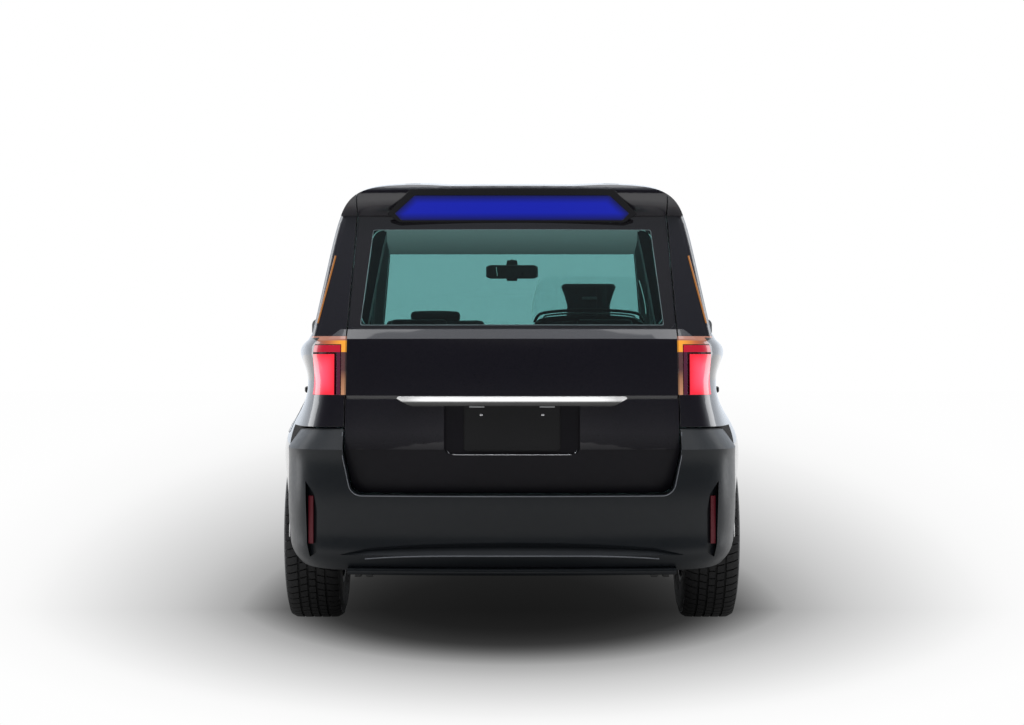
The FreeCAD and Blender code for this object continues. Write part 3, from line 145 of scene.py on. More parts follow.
class Finish:
    """The nodes of a material or of the world under construction."""

    def __init__(self, holder):
        holder.use_nodes = True
        self.holder = holder
        self.tree = holder.node_tree
        self.tree.nodes.clear()

    def node(self, kind, settings=None, inputs=(), output=0):
        made = self.tree.nodes.new(kind)
        for key, value in (settings or {}).items():
            if key == "stops":
                self.ramp(made.color_ramp, value)
            else:
                setattr(made, key, value)
        pairs = inputs.items() if isinstance(inputs, dict) else enumerate(inputs)
        for key, value in pairs:
            socket = made.inputs[key]
            if isinstance(value, Wire):
                self.tree.links.new(value.socket, socket)
            else:
                socket.default_value = (*value, 1) if socket.type == "RGBA" else value
        return Wire(self, made.outputs[output])

    def ramp(self, ramp, stops):
        while len(ramp.elements) < len(stops):
            ramp.elements.new(0.5)
        for element, (place, value) in zip(ramp.elements, stops):
            element.position = place
            element.color = (value, value, value, 1) if isinstance(value, (int, float)) else (*value, 1)

    def place(self):
        return self.node("ShaderNodeTexCoord", output="Object")

    def parts(self, vector):
        split = self.node("ShaderNodeSeparateXYZ", None, [vector])
        return [Wire(self, out) for out in split.socket.node.outputs]

    def axes(self):
        return self.parts(self.place())

    def facing(self):
        """Which way the surface looks, in the piece's own directions."""
        return self.parts(self.node("ShaderNodeTexCoord", output="Normal"))

    def noise(self, scale, detail=3.0):
        made = {"Vector": self.place(), "Scale": scale, "Detail": detail, "Roughness": 0.5}
        return self.node("ShaderNodeTexNoise", None, made, "Fac")

    def ramped(self, value, stops, mode="LINEAR"):
        made = self.node("ShaderNodeValToRGB", {"stops": stops}, [value])
        made.socket.node.color_ramp.interpolation = mode
        return made

    def varied(self, scale, low, high, detail=3.0):
        """A number that wanders between two values."""
        return self.ramped(self.noise(scale, detail), [(0.3, low), (0.7, high)])

    def mixed(self, share, low, high):
        return self.node("ShaderNodeMix", {"data_type": "RGBA"}, {0: share, 6: low, 7: high}, 2)

    def mottled(self, scale, low, high):
        """A colour that wanders between two others."""
        return self.mixed(self.noise(scale), low, high)

    def either(self, share, low, high):
        """One finish where the share is nought and the other where it is one."""
        return self.node("ShaderNodeMixShader", None, [share, low, high])

    def inside(self, corners, u, v, soft=0.012):
        """How far inside an outline a place lies."""
        mid = sum((Vector(c[:2]) for c in corners), Vector((0, 0))) / len(corners)
        depth = None
        for i, corner in enumerate(corners):
            a, b = Vector(corners[i - 1][:2]), Vector(corner[:2])
            inward = Vector((b.y - a.y, a.x - b.x)).normalized()
            if inward.dot(mid - a) < 0:
                inward = -inward
            far = u * inward.x + v * inward.y - inward.dot(a)
            depth = depth.sum("SMOOTH_MIN", far, soft) if depth else far
        return depth

    def bump(self, height, strength=0.2, depth=0.001, normal=None):
        made = {"Height": height, "Strength": strength, "Distance": depth}
        if normal:
            made["Normal"] = normal
        return self.node("ShaderNodeBump", None, made)

    def edge(self, radius):
        return self.node("ShaderNodeBevel", {"samples": 4}, {"Radius": radius})

    def skin(self, color, rough, **more):
        names = {key.replace("_", " ").title().replace("Ior", "IOR"): value for key, value in more.items()}
        return self.node("ShaderNodeBsdfPrincipled", None, {"Base Color": color, "Roughness": rough, **names})

    def done(self, shader, kind="ShaderNodeOutputMaterial"):
        out = self.tree.nodes.new(kind)
        self.tree.links.new(shader.socket, out.inputs["Surface"])
        return self.holder


def finish(name, build, *sizes, **more):
    """A material made by one of the functions below."""
    mat = Finish(bpy.data.materials.new(name))
    return mat.done(build(mat, *sizes, **more))


# Finishes

def lacquer(mat):
    """Deep black lacquer with a violet cast and the faintest orange peel."""
    tint = mat.mottled(3.0, (0.0045, 0.0035, 0.008), (0.007, 0.0055, 0.012))
    peel = mat.bump(mat.noise(420.0, 2.0), 0.01, 0.0004, mat.edge(0.0025))
    return mat.skin(tint, mat.varied(900.0, 0.26, 0.32), coat_weight=1.0, coat_roughness=0.02, coat_ior=1.5,
                    normal=peel)


def moulding(mat, low, high, rough, grain=1600.0, depth=0.00012, shine=0.5):
    normal = mat.bump(mat.noise(grain, 2.0), 0.2, depth)
    worn = mat.varied(60.0, rough - 0.03, rough + 0.04)
    return mat.skin(mat.mottled(5.0, low, high), worn, specular_ior_level=shine, normal=normal)


def lining(mat, low, high):
    return moulding(mat, low, high, 0.6, 900.0)


def felt(mat, low, high):
    """Soft lining with short fibres."""
    color = mat.mixed(mat.noise(600.0, 4.0), low, high)
    return mat.skin(color, 0.9, sheen_weight=0.2, normal=mat.bump(mat.noise(900.0), 0.3, 0.0006))


def clear_glass(mat, color):
    smear = mat.ramped(mat.noise(9.0, 4.0), [(0.4, 0.0), (0.8, 0.003)])
    return mat.skin(color, smear, transmission_weight=1.0, ior=1.45)


def panel(mat, inward, lining_low, lining_high):
    """Lacquer outside and a lining on the faces that look into the cab."""
    x, _, _ = mat.axes()
    nx, _, nz = mat.facing()
    inner = (nx * x.sum("SIGN")).under(-0.2) if inward == "side" else nz.under(-0.2)
    return mat.either(inner, lacquer(mat), lining(mat, lining_low, lining_high))


def gate(mat):
    """Lacquer with painted shade, a darker and duller satin, in the plate's recess and under the crease, and
    a lining inside.
    """
    x, _, z = mat.axes()
    _, ny, _ = mat.facing()
    half, low, high = RECESS
    recess = x.size().under(half) * z.over(low) * z.under(high)
    tint = mat.mottled(4.0, (0.004, 0.0035, 0.006), (0.006, 0.005, 0.009))
    # Painted shade: a darker, duller copy of the lacquer for the recess and the undercut below the crease.
    painted_shade_satin = mat.skin(tint, mat.varied(60.0, 0.32, 0.4), specular_ior_level=0.16)
    shade_under_crease = mat.ramped((z - 0.6565) / 0.06, [(0.0, 1.0), (0.02, 0.75), (1.0, 0.0)])
    outside = mat.either(shade_under_crease.most(recess), lacquer(mat), painted_shade_satin)
    return mat.either(ny.over(0.2), outside, lining(mat, (0.10, 0.11, 0.12), (0.13, 0.14, 0.15)))


def garnish(mat):
    """Polished trim with a painted highlight along its upper half and painted shade where it rolls under."""
    x, _, z = mat.axes()
    height = (z - GARNISH_LOW) / GARNISH_H
    # Painted reflection and shade: the metal's colour is dark where the trim rolls under and bright higher
    # up.
    painted_roll_shade = mat.ramped(height, [(0.0, 0.05), (0.4, 0.12), (0.5, 0.6), (0.62, 0.95), (1.0, 0.8)], "EASE")
    # Painted highlight: a glow along the upper half that fades towards the trim's ends.
    lit = mat.ramped(height, [(0.44, 0.0), (0.58, 0.75), (0.85, 0.6), (1.0, 0.25)], "EASE")
    middle = mat.ramped(x.size(), [(0.29, 1.0), (0.37, 0.3)], "EASE")
    return mat.skin(painted_roll_shade, mat.varied(30.0, 0.10, 0.14), metallic=1.0, emission_color=lit * middle,
                    emission_strength=0.8, normal=mat.edge(0.002))


def gloss_black(mat):
    tint = mat.mottled(5.0, (0.003, 0.003, 0.005), (0.005, 0.005, 0.008))
    return mat.skin(tint, mat.varied(40.0, 0.14, 0.2), specular_ior_level=0.25)


def headliner(mat):
    """Pale lining with painted shade that darkens it towards the windscreen and a painted glow on its upper
    part.
    """
    _, _, z = mat.axes()
    height = (z - LINING_LOW) / 0.12
    # Painted shade: the grey darkens towards the bottom.
    grey = mat.ramped(height, [(0.0, 0.09), (0.35, 0.16), (1.0, 0.5)])
    # Painted glow: emission that is brighter higher up, though the lining is no lamp.
    lit = mat.ramped(height, [(0.0, (0.06, 0.075, 0.075)), (1.0, (0.24, 0.26, 0.26))])
    fibres = mat.bump(mat.noise(900.0), 0.3, 0.0006)
    return mat.skin(grey, 0.85, emission_color=lit, emission_strength=1.0, normal=fibres)


def door_panel(mat):
    """A door's lacquer, its lining, and the black pull handle."""
    x, _, z = mat.axes()
    nx, _, _ = mat.facing()
    inner = (nx * x.sum("SIGN")).under(-0.2) * x.size().under(0.79)
    handle = x.size().over(0.803) * (z - HANDLE_Z).size().under(0.02)
    pull = moulding(mat, (0.01, 0.01, 0.011), (0.014, 0.014, 0.015), 0.35)
    outside = mat.either(handle, lacquer(mat), pull)
    return mat.either(inner, outside, lining(mat, (0.16, 0.17, 0.18), (0.2, 0.21, 0.22)))


def pan(mat):
    """Carpet where feet and cases go, stone-proof coating elsewhere."""
    _, _, nz = mat.facing()
    _, y, _ = mat.axes()
    top = nz.over(0.2) * y.under(1.02)
    coat = moulding(mat, (0.01, 0.01, 0.011), (0.02, 0.02, 0.021), 0.6, 120.0, 0.001)
    return mat.either(top, coat, felt(mat, (0.02, 0.02, 0.023), (0.045, 0.045, 0.05)))


def cab_glass(mat, outline, along_axes, border, hue=(0.33, 0.57, 0.545)):
    """Teal glass with a fired black border and a fine pale line where the border ends."""
    place = dict(zip("xyz", mat.axes()))
    depth = mat.inside(outline, place[along_axes[0]], place[along_axes[1]])
    black = mat.mottled(40.0, (0.012, 0.011, 0.014), (0.018, 0.016, 0.02))
    enamel = mat.skin(black, 0.12, coat_weight=1.0, coat_roughness=0.02)
    line = mat.skin((0.20, 0.27, 0.28), mat.varied(200.0, 0.3, 0.4))
    open_part = mat.either(depth.under(border + 0.0022), clear_glass(mat, hue), line)
    return mat.either(depth.under(border), open_part, enamel)


def tail_lamp(mat):
    """Nested lenses: a lit red block, a dim red frame and a thin amber frame, parted by black."""
    x, _, z = mat.axes()
    out = x.size()
    block = out.over(0.611) * z.under(0.983)
    ditch = out.over(0.6025) * z.under(LAMP_SPLIT_Z)
    red_frame = out.over(0.5895) * z.under(1.014)
    seam = out.over(0.5865) * z.under(1.017)
    upper = z.over(LAMP_SPLIT_Z)
    outward = [(0.0, (1.0, 0.42, 0.05)), (0.5, (0.55, 0.16, 0.06)), (1.0, (0.2, 0.07, 0.05))]
    amber = mat.mixed(z.over(1.03), mat.ramped((out - 0.586) / 0.09, outward), (0.42, 0.2, 0.14))
    rising = [(0.0, (0.55, 0.28, 0.15)), (0.35, (0.35, 0.18, 0.1)), (0.6, (0.08, 0.05, 0.05))]
    amber = mat.mixed(upper, mat.ramped((z - 0.845) / 0.14, rising), amber)
    red = mat.mixed(upper, (0.055, 0.018, 0.04), (0.5, 0.012, 0.035))
    heat = mat.inside(LIT_BLOCK, out, z, 0.05)
    hot = mat.ramped(heat / 0.035, [(0.0, (1.0, 0.03, 0.055)), (1.0, (1.0, 0.11, 0.19))])
    glow = mat.mixed(seam, amber, (0.0, 0.0, 0.0))
    glow = mat.mixed(red_frame, glow, red)
    glow = mat.mixed(ditch, glow, (0.004, 0.0, 0.001))
    glow = mat.mixed(block, glow, hot)
    # Painted glow: the red reflectors low in the bumper glow faintly, though they are no lamp.
    glow = mat.mixed(z.under(0.6), glow, (0.030, 0.001, 0.003))
    base = mat.mottled(60.0, (0.05, 0.004, 0.008), (0.07, 0.006, 0.01))
    corner = z.over(0.6)
    return mat.skin(base, corner * -0.4 + 0.56, emission_color=glow, emission_strength=1.0,
                    coat_weight=corner * 0.7, coat_roughness=0.03, normal=mat.edge(0.0015))


def roof_sign(mat, outline, glow_low, glow_high, reach):
    """A lit blank panel in a black surround."""
    x, _, z = mat.axes()
    depth = mat.inside(outline, x, z, 0.008)
    color = mat.ramped(depth / reach, [(0.0, glow_low), (0.5, glow_high)])
    lens = mat.skin((0.004, 0.006, 0.05), mat.varied(90.0, 0.2, 0.26), emission_color=color,
                    emission_strength=1.0, specular_ior_level=0.2)
    return mat.either(depth.under(0.0), lens, lacquer(mat))


def head_lamp(mat):
    """A dark housing behind a clear lens, with two bright lamp rings and a light bar."""
    x, _, z = mat.axes()
    out = x.size()
    up = z - HEAD_LAMP_Z
    rings = []
    for centre in (0.54, 0.65):
        far = ((out - centre) * (out - centre) + up * up).sum("SQRT")
        rings.append((far - 0.027).size().under(0.004).most(far.under(0.018)))
    bright = rings[0].most(rings[1])
    bar = (z - (out * 0.16 + 0.738)).size().under(0.004)
    color = mat.mixed(bright.most(bar), (0.02, 0.021, 0.024), (0.75, 0.78, 0.8))
    glow = mat.mixed(bar, (0, 0, 0), (0.7, 0.75, 0.8))
    return mat.skin(color, 0.12, metallic=bright, emission_color=glow, emission_strength=1.0, coat_weight=1.0,
                    coat_roughness=0.01, normal=mat.edge(0.002))


def metal(mat, low, high, rough, scale=200.0):
    worn = mat.varied(scale * 2, rough, rough + 0.08)
    return mat.skin(mat.mottled(scale, low, high), worn, metallic=1.0, normal=mat.edge(0.0015))


def rubber(mat, low=0.006, high=0.014, rough=0.6):
    color = mat.mottled(40.0, (low, low, low * 1.1), (high, high, high * 1.08))
    normal = mat.bump(mat.noise(700.0, 3.0), 0.2, 0.0002)
    return mat.skin(color, mat.varied(80.0, rough - 0.06, rough + 0.1), normal=normal)


def cloth(mat, low, high):
    threads = {"Vector": mat.place(), "Scale": 320.0}
    weave = mat.node("ShaderNodeTexWave", {"bands_direction": "DIAGONAL"}, threads)
    color = mat.mixed(weave, mat.mottled(6.0, low, high), high)
    return mat.skin(color, 0.8, sheen_weight=0.3, normal=mat.bump(weave, 0.3, 0.0004))


def glowing(mat, color, glow):
    shade = mat.mottled(30.0, glow, tuple(c * 0.85 for c in glow))
    return mat.skin(color, 0.25, emission_color=shade, emission_strength=1.0, coat_weight=0.6)


PALE_LINING = ((0.34, 0.36, 0.37), (0.4, 0.42, 0.43))
SIDE_PAINT = finish("side_lacquer", panel, "side", *PALE_LINING)
ROOF_PAINT = finish("roof_lacquer", panel, "down", *PALE_LINING)
GATE_PAINT = finish("gate_lacquer", gate)
GARNISH = finish("garnish_chrome", garnish)
HEADLINER = finish("headliner_shade", headliner)
SURROUND = finish("sign_surround", gloss_black)
HOOD_PAINT = finish("hood_lacquer", panel, "down", (0.02, 0.02, 0.021), (0.03, 0.03, 0.031))
DOOR_PAINT = finish("door_lacquer", door_panel)
PAN = finish("floor_lining", pan)
BUMPER = finish("bumper_slate", moulding, (0.0095, 0.0118, 0.0145), (0.0115, 0.014, 0.0172), 0.36, shine=0.3)
# Painted highlight: a pale grey for beads that stand for light caught on edges.
EDGE_HIGHLIGHT = finish("painted_edge_highlight", moulding, (0.16, 0.17, 0.19), (0.2, 0.21, 0.23), 0.3)
TRIM = finish("trim_black", moulding, (0.006, 0.006, 0.007), (0.010, 0.010, 0.011), 0.42)
DASH = finish("dash_grain", moulding, (0.018, 0.02, 0.022), (0.028, 0.03, 0.033), 0.55, 500.0, 0.0004)
LINING = finish("door_lining", moulding, (0.09, 0.10, 0.11), (0.12, 0.13, 0.14), 0.6, 700.0, 0.0003)
GREY_SOFT = finish("grey_soft", moulding, (0.30, 0.31, 0.32), (0.36, 0.37, 0.38), 0.6, 700.0, 0.0003)
CHASSIS = finish("chassis_black", moulding, (0.01, 0.01, 0.011), (0.02, 0.02, 0.02), 0.5, 300.0)
MIRROR_SHADE = finish("mirror_shade", moulding, (0.010, 0.012, 0.013), (0.014, 0.016, 0.018), 0.3)
BLANK = finish("blank_plate", moulding, (0.012, 0.012, 0.013), (0.016, 0.016, 0.017), 0.45, 400.0, shine=0.2)
TAIL_PANE = finish("tail_glass", cab_glass, TAIL_VIEW, "xz", 0.0)
SCREEN_PANE = finish("screen_glass", cab_glass, SCREEN, "xz", 0.03, (0.47, 0.69, 0.65))
FRONT_PANE = finish("front_door_glass", cab_glass, FRONT_GLASS, "yz", 0.012)
REAR_PANE = finish("rear_door_glass", cab_glass, REAR_GLASS, "yz", 0.012)
QUARTER_PANE = finish("quarter_glass", cab_glass, QUARTER_GLASS, "yz", 0.034)
CLEAR = finish("shield_clear", clear_glass, (0.92, 0.96, 0.96))
TAIL_LAMP = finish("tail_lamp", tail_lamp)
HEAD_LAMP = finish("head_lamp", head_lamp)
SIGN = finish("sign_lit", roof_sign, two_sided(SIGN_HALF), (0.002, 0.003, 0.05), (0.003, 0.010, 0.36), 0.05)
FRONT_LIT = finish("front_sign_lit", roof_sign, FRONT_SIGN, (0.002, 0.002, 0.04), (0.004, 0.010, 0.3), 0.03)
CHROME = finish("chrome", metal, (0.62, 0.62, 0.64), (0.72, 0.72, 0.74), 0.06)
MIRROR = finish("mirror_face", metal, (0.75, 0.77, 0.78), (0.78, 0.8, 0.81), 0.01)
ALLOY = finish("alloy", metal, (0.32, 0.33, 0.34), (0.42, 0.43, 0.44), 0.3)
DISC = finish("brake_disc", metal, (0.2, 0.2, 0.2), (0.3, 0.3, 0.3), 0.35, 90.0)
STEEL = finish("exhaust_steel", metal, (0.25, 0.24, 0.22), (0.35, 0.33, 0.3), 0.35)
TYRE = finish("tyre_black", rubber)
SEAL = finish("window_seal", rubber, 0.004, 0.007, 0.5)
SEAT = finish("seat_cloth", cloth, (0.010, 0.012, 0.016), (0.022, 0.025, 0.032))
AMBER = finish("amber_strip", glowing, (0.1, 0.04, 0.01), (0.36, 0.14, 0.035))
# Painted glints: pale glowing beads for the screen's cut edges and the cabin mirror's face.
GLINT_GLOW = finish("shield_edge", glowing, (0.4, 0.5, 0.5), (0.30, 0.48, 0.46))

SLOT_FINISH = {
    "body_paint": SIDE_PAINT, "bumper_grey": BUMPER, "trim_black": TRIM, "window_glass": TAIL_PANE,
    "lamp_red": TAIL_LAMP, "lamp_clear": HEAD_LAMP, "sign_blue": SIGN, "bright_trim": CHROME,
    "under_steel": CHASSIS, "floor_steel": PAN, "engine_grey": ALLOY, "exhaust_steel": STEEL,
    "seat_fabric": SEAT, "screen_clear": CLEAR, "tyre_rubber": TYRE, "rim_silver": ALLOY,
}
NODE_FINISH = {
    "roof_panel": ROOF_PAINT, "tailgate": GATE_PAINT, "hood": HOOD_PAINT, "door_front_right": DOOR_PAINT,
    "door_front_left": DOOR_PAINT, "door_rear_right": DOOR_PAINT, "door_sliding_left": DOOR_PAINT,
    "windshield": SCREEN_PANE, "garnish": GARNISH, "glass_front_right": FRONT_PANE,
    "glass_front_left": FRONT_PANE, "glass_rear_right": REAR_PANE, "glass_rear_left": REAR_PANE,
    "glass_quarter": QUARTER_PANE, "sign_front": FRONT_LIT, "dashboard": DASH,
}


def finish_nodes():
    for entry in frame["record"]["subparts"]:
        node = NODES[entry["node"]]
        node.data.materials.clear()
        node.data.materials.append(NODE_FINISH.get(entry["node"], SLOT_FINISH[entry["material_slot"]]))


# Making pieces

def rounded(corners, steps=5):
    """An outline whose corners carry their own radius as a third number."""
    line = []
    for i, corner in enumerate(corners):
        here = Vector(corner[:2])
        radius = corner[2] if len(corner) > 2 else 0.0
        if not radius:
            line.append(here)
            continue
        before = (Vector(corners[i - 1][:2]) - here).normalized()
        after = (Vector(corners[(i + 1) % len(corners)][:2]) - here).normalized()
        half = before.angle(after) / 2
        centre = here + (before + after).normalized() * (radius / math.sin(half))
        start = here + before * (radius / math.tan(half)) - centre
        end = here + after * (radius / math.tan(half)) - centre
        line += [centre + start.lerp(end, k / steps).normalized() * radius for k in range(steps + 1)]
    return line


def across(u, v, w):
    """An outline in (y, z) with its thickness along x."""
    return Vector((w, u, v))


def along(u, v, w):
    """An outline in (x, z) with its thickness along y."""
    return Vector((u, w, v))


def upward(u, v, w):
    return Vector((u, v, w))


def oblong(low_u, low_v, high_u, high_v, radius):
    """A rounded rectangle between two corners."""
    ring = [(low_u, low_v), (high_u, low_v), (high_u, high_v), (low_u, high_v)]
    return rounded([(u, v, radius) for u, v in ring])


def between(low, high):
    """The closed form between two rings of as many places."""
    count = len(low)
    faces = [list(range(count)), list(range(count, 2 * count))]
    faces += [[i, (i + 1) % count, count + (i + 1) % count, count + i] for i in range(count)]
    return list(low) + list(high), faces


def prism(outline, low, high, put):
    return between([put(u, v, low) for u, v in outline], [put(u, v, high) for u, v in outline])


def box(low, high):
    floor = [(low[0], low[1]), (high[0], low[1]), (high[0], high[1]), (low[0], high[1])]
    return prism(floor, low[2], high[2], upward)


def turned(profile, steps=64, closed=False, put=across):
    """A shape turned about an axle from a profile of (radius, reach along the axle)."""
    corners, faces = [], []
    count = len(profile)
    for k in range(steps):
        angle = 2 * math.pi * k / steps
        corners += [put(r * math.cos(angle), r * math.sin(angle), w) for r, w in profile]
    for k in range(steps):
        for i in range(count if closed else count - 1):
            j, other = (i + 1) % count, (k + 1) % steps
            faces.append([k * count + i, k * count + j, other * count + j, other * count + i])
    return corners, faces


def joined(shapes):
    corners, faces = [], []
    for more, sides in shapes:
        base = len(corners)
        corners += list(more)
        faces += [[i + base for i in side] for side in sides]
    return corners, faces


def moved(shape, matrix):
    return [matrix @ Vector(c) for c in shape[0]], shape[1]


def shifted(shape, x, y, z):
    return moved(shape, Matrix.Translation((x, y, z)))


def stood(name, data):
    """A new object in the scene."""
    made = bpy.data.objects.new(name, data)
    bpy.context.scene.collection.objects.link(made)
    return made


def carried(made, body):
    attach(made, body)
    return made


def piece(name, shape, finish, body="body", bevel=0.0, sharp=40.0, at=None):
    """A piece of the cab, its keen edges rounded, riding on a body."""
    corners, faces = shape
    mesh = bpy.data.meshes.new(name)
    bm = bmesh.new()
    points = [bm.verts.new(c) for c in corners]
    for face in faces:
        bm.faces.new([points[i] for i in face])
    bmesh.ops.remove_doubles(bm, verts=bm.verts, dist=1e-6)
    bmesh.ops.recalc_face_normals(bm, faces=bm.faces)
    if bevel:
        keen = [e for e in bm.edges if e.is_manifold and e.calc_face_angle(0) > math.radians(30)]
        bmesh.ops.bevel(bm, geom=keen, offset=bevel, segments=3, profile=0.5, affect="EDGES",
                        clamp_overlap=True)
    for face in bm.faces:
        face.smooth = True
    bm.to_mesh(mesh)
    bm.free()
    mesh.set_sharp_from_angle(angle=math.radians(sharp))
    mesh.materials.append(finish)
    made = stood(name, mesh)
    if at:
        made.matrix_world = at
    made.modifiers.new("flat_faces", "WEIGHTED_NORMAL").keep_sharp = True
    return carried(made, body)


def rail(name, points, radius, finish, body="body", closed=False, straight=False):
    """A round bar or bead along a smooth line."""
    curve = bpy.data.curves.new(name, "CURVE")
    curve.dimensions = "3D"
    curve.bevel_depth = radius
    curve.bevel_resolution = 3
    curve.resolution_u = 6
    curve.use_fill_caps = True
    line = curve.splines.new("POLY" if straight else "NURBS")
    line.points.add(len(points) - 1)
    for dot, place in zip(line.points, points):
        dot.co = (*place, 1)
    if not straight:
        line.order_u = 3
        line.use_endpoint_u = not closed
    line.use_cyclic_u = closed
    curve.materials.append(finish)
    return carried(stood(name, curve), body)


SKINS = {}


def cast(node, start, way):
    """Where a line meets a node's skin, and which way the skin faces there."""
    if node not in SKINS:
        mesh = NODES[node].data
        SKINS[node] = BVHTree.FromPolygons([v.co for v in mesh.vertices], [p.vertices for p in mesh.polygons])
    place, normal, _, _ = SKINS[node].ray_cast(Vector(start), Vector(way))
    return place, normal


def on_skin(node, spots, way, lift=0.0):
    """Places on a node's skin under spots that lie outside it, each lifted off the skin."""
    found = []
    for spot in spots:
        place, normal = cast(node, spot, way)
        if place:
            found.append(place + normal * lift)
    return found


def from_behind(node, line, lift=0.0):
    """The same line of (x, z) on a node's back."""
    return on_skin(node, [(u, BEHIND, v) for u, v in line], (0, 1, 0), lift)


def from_side(node, line, sign, lift=0.0):
    """The same line of (y, z) on a node's right or left."""
    return on_skin(node, [(sign * BESIDE, u, v) for u, v in line], (-sign, 0, 0), lift)


def evenly(low, high, count):
    return [low + (high - low) * k / count for k in range(count + 1)]


def inset(outline, by):
    """An outline drawn in towards its middle."""
    mid = sum(outline, Vector((0, 0))) / len(outline)
    return [p + (mid - p).normalized() * by for p in outline]


def dense(line, step=0.05, closed=True):
    """The same line with more places on its long runs."""
    found = []
    for i in range(len(line) if closed else len(line) - 1):
        a, b = line[i], line[(i + 1) % len(line)]
        count = max(1, int((b - a).length / step))
        found += [a.lerp(b, k / count) for k in range(count)]
    return found if closed else found + [line[-1]]


# Wheels

TREAD_BANDS = [
    (-0.094, -0.076, -0.052), (-0.044, -0.032, -0.019), (-0.011, 0.0, 0.011), (0.019, 0.032, 0.044),
    (0.052, 0.076, 0.094),
]
TREAD_PITCHES = 64
TREAD_DEPTH = 0.010
TREAD_LEAN = 0.9
WHEEL_NUTS = 5
NUT_CIRCLE = 0.05
NUT_R = 0.009


def crown(w):
    return TYRE_R - max(0.0, abs(w) - 0.074) * 0.55


def tread_block(band, start, sweep, lean):
    """One block of tread between two grooves."""
    corners = []
    for w in band:
        turn = start + lean * (w - band[0])
        for sunk, share in ((TREAD_DEPTH, 0.0), (0.0, 0.04), (0.0, 0.96), (TREAD_DEPTH, 1.0)):
            angle = turn + sweep * share
            r = crown(w) - sunk
            corners.append(across(r * math.cos(angle), r * math.sin(angle), w))
    faces = [[0, 1, 2, 3], [8, 9, 10, 11]]
    for row in (0, 4):
        faces += [[row + i, row + (i + 1) % 4, row + 4 + (i + 1) % 4, row + 4 + i] for i in range(4)]
    return corners, faces


def tyre_shape():
    side = [(0.191, 0.0925), (0.206, 0.0985), (0.214, 0.0992), (0.217, 0.1012), (0.222, 0.1000),
            (0.240, 0.1018), (0.262, 0.1024), (0.282, 0.1012), (0.285, 0.0998), (0.298, 0.0968),
            (0.307, 0.0900), (0.3105, 0.078)]
    carcass = turned([(r, -w) for r, w in side] + [(r, w) for r, w in reversed(side)], 96, True)
    blocks = []
    pitch = 2 * math.pi / TREAD_PITCHES
    for k in range(TREAD_PITCHES):
        for row, band in enumerate(TREAD_BANDS):
            lean = TREAD_LEAN if row < 2 else -TREAD_LEAN if row > 2 else 0.0
            blocks.append(tread_block(band, pitch * (k + 0.35 * (row % 2)), pitch * 0.93, lean))
    return joined([carcass] + blocks)


def wheel_shapes():
    """The hub cap, the nuts and the brake disc of one wheel, about its own middle."""
    cap = turned([(0.0, 0.073), (0.018, 0.0725), (0.026, 0.070), (0.029, 0.064), (0.029, 0.054)], 40)
    nuts = []
    hexagon = [(NUT_R * math.cos(math.pi * i / 3), NUT_R * math.sin(math.pi * i / 3)) for i in range(6)]
    nut = prism(hexagon, 0.052, 0.070, across)
    for k in range(WHEEL_NUTS):
        angle = 2 * math.pi * k / WHEEL_NUTS
        nuts.append(shifted(nut, 0, NUT_CIRCLE * math.cos(angle), NUT_CIRCLE * math.sin(angle)))
    disc = [(0.040, -0.018), (0.040, 0.019), (0.062, 0.019), (0.064, 0.004), (0.136, 0.004), (0.136, -0.002),
            (0.130, -0.003), (0.130, -0.009), (0.136, -0.010), (0.136, -0.018)]
    return cap, joined(nuts), turned(disc, 72, True)


def caliper_shape():
    """Two halves over the disc and the bridge that joins them."""
    outline = rounded([(-0.150, -0.055, 0.015), (-0.095, -0.045, 0.01), (-0.095, 0.045, 0.01),
                       (-0.150, 0.055, 0.015)])
    return joined([prism(outline, 0.0065, 0.0175, across), prism(outline, -0.050, -0.022, across),
                   prism(inset(outline, 0.012), -0.03, 0.012, across)])


def wheels():
    tyre = tyre_shape()
    cap, nuts, disc = wheel_shapes()
    for end, y in AXLES.items():
        for side, sign in SIDES.items():
            name = end + "_" + side
            at = Matrix.Translation((sign * WHEEL_X, y, TYRE_R))
            if sign < 0:
                at = at @ Matrix.Rotation(math.pi, 4, "Z")
            wheel = "wheel_" + name
            worn = piece("tread_" + name, tyre, TYRE, wheel, sharp=34.0, at=at)
            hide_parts("tyre_" + name)
            piece("hub_cap_" + name, cap, ALLOY, wheel, at=at)
            piece("wheel_nuts_" + name, nuts, CHROME, wheel, bevel=0.001, at=at)
            piece("brake_disc_" + name, disc, DISC, wheel, bevel=0.001, at=at)
            holder = "steer_hub_" + side if end == "front" else "body"
            caliper = caliper_shape()
            if sign < 0:
                caliper = moved(caliper, Matrix.Scale(-1, 4, (0, 1, 0)))
            piece("caliper_" + name, caliper, CHASSIS, holder, bevel=0.004, at=at)


# Back of the cab

def rear_plate():
    """A blank plate on its two screws, held in the gate's recess."""
    outline = rounded(two_sided([(PLATE_HALF, 0.652, 0.012), (PLATE_HALF, 0.813, 0.012)]))
    face = PLATE_Y - 0.003
    piece("rear_plate_blank", prism(outline, face, PLATE_Y, along), BLANK, "rear_gate", bevel=0.0008)
    rim = rounded(two_sided([(0.163, 0.654, 0.011), (0.163, 0.811, 0.011)]), 4)
    rail("rear_plate_rim", [along(u, v, face - 0.0003) for u, v in rim], 0.0012, BLANK, "rear_gate",
         closed=True, straight=True)
    for side, sign in SIDES.items():
        screw = turned([(0.0, -0.0022), (0.003, -0.002), (0.0052, 0.0)], 20, False, along)
        placed = shifted(screw, sign * 0.105, face - 0.0003, 0.776)
        piece("plate_screw_" + side, placed, CHROME, "rear_gate")
        light = prism(oblong(-0.026, -0.008, 0.026, 0.008, 0.005), -0.006, 0.0, upward)
        placed = shifted(light, sign * 0.12, -2.127, 0.8065)
        piece("plate_light_" + side, placed, GREY_SOFT, "rear_gate", bevel=0.0015)


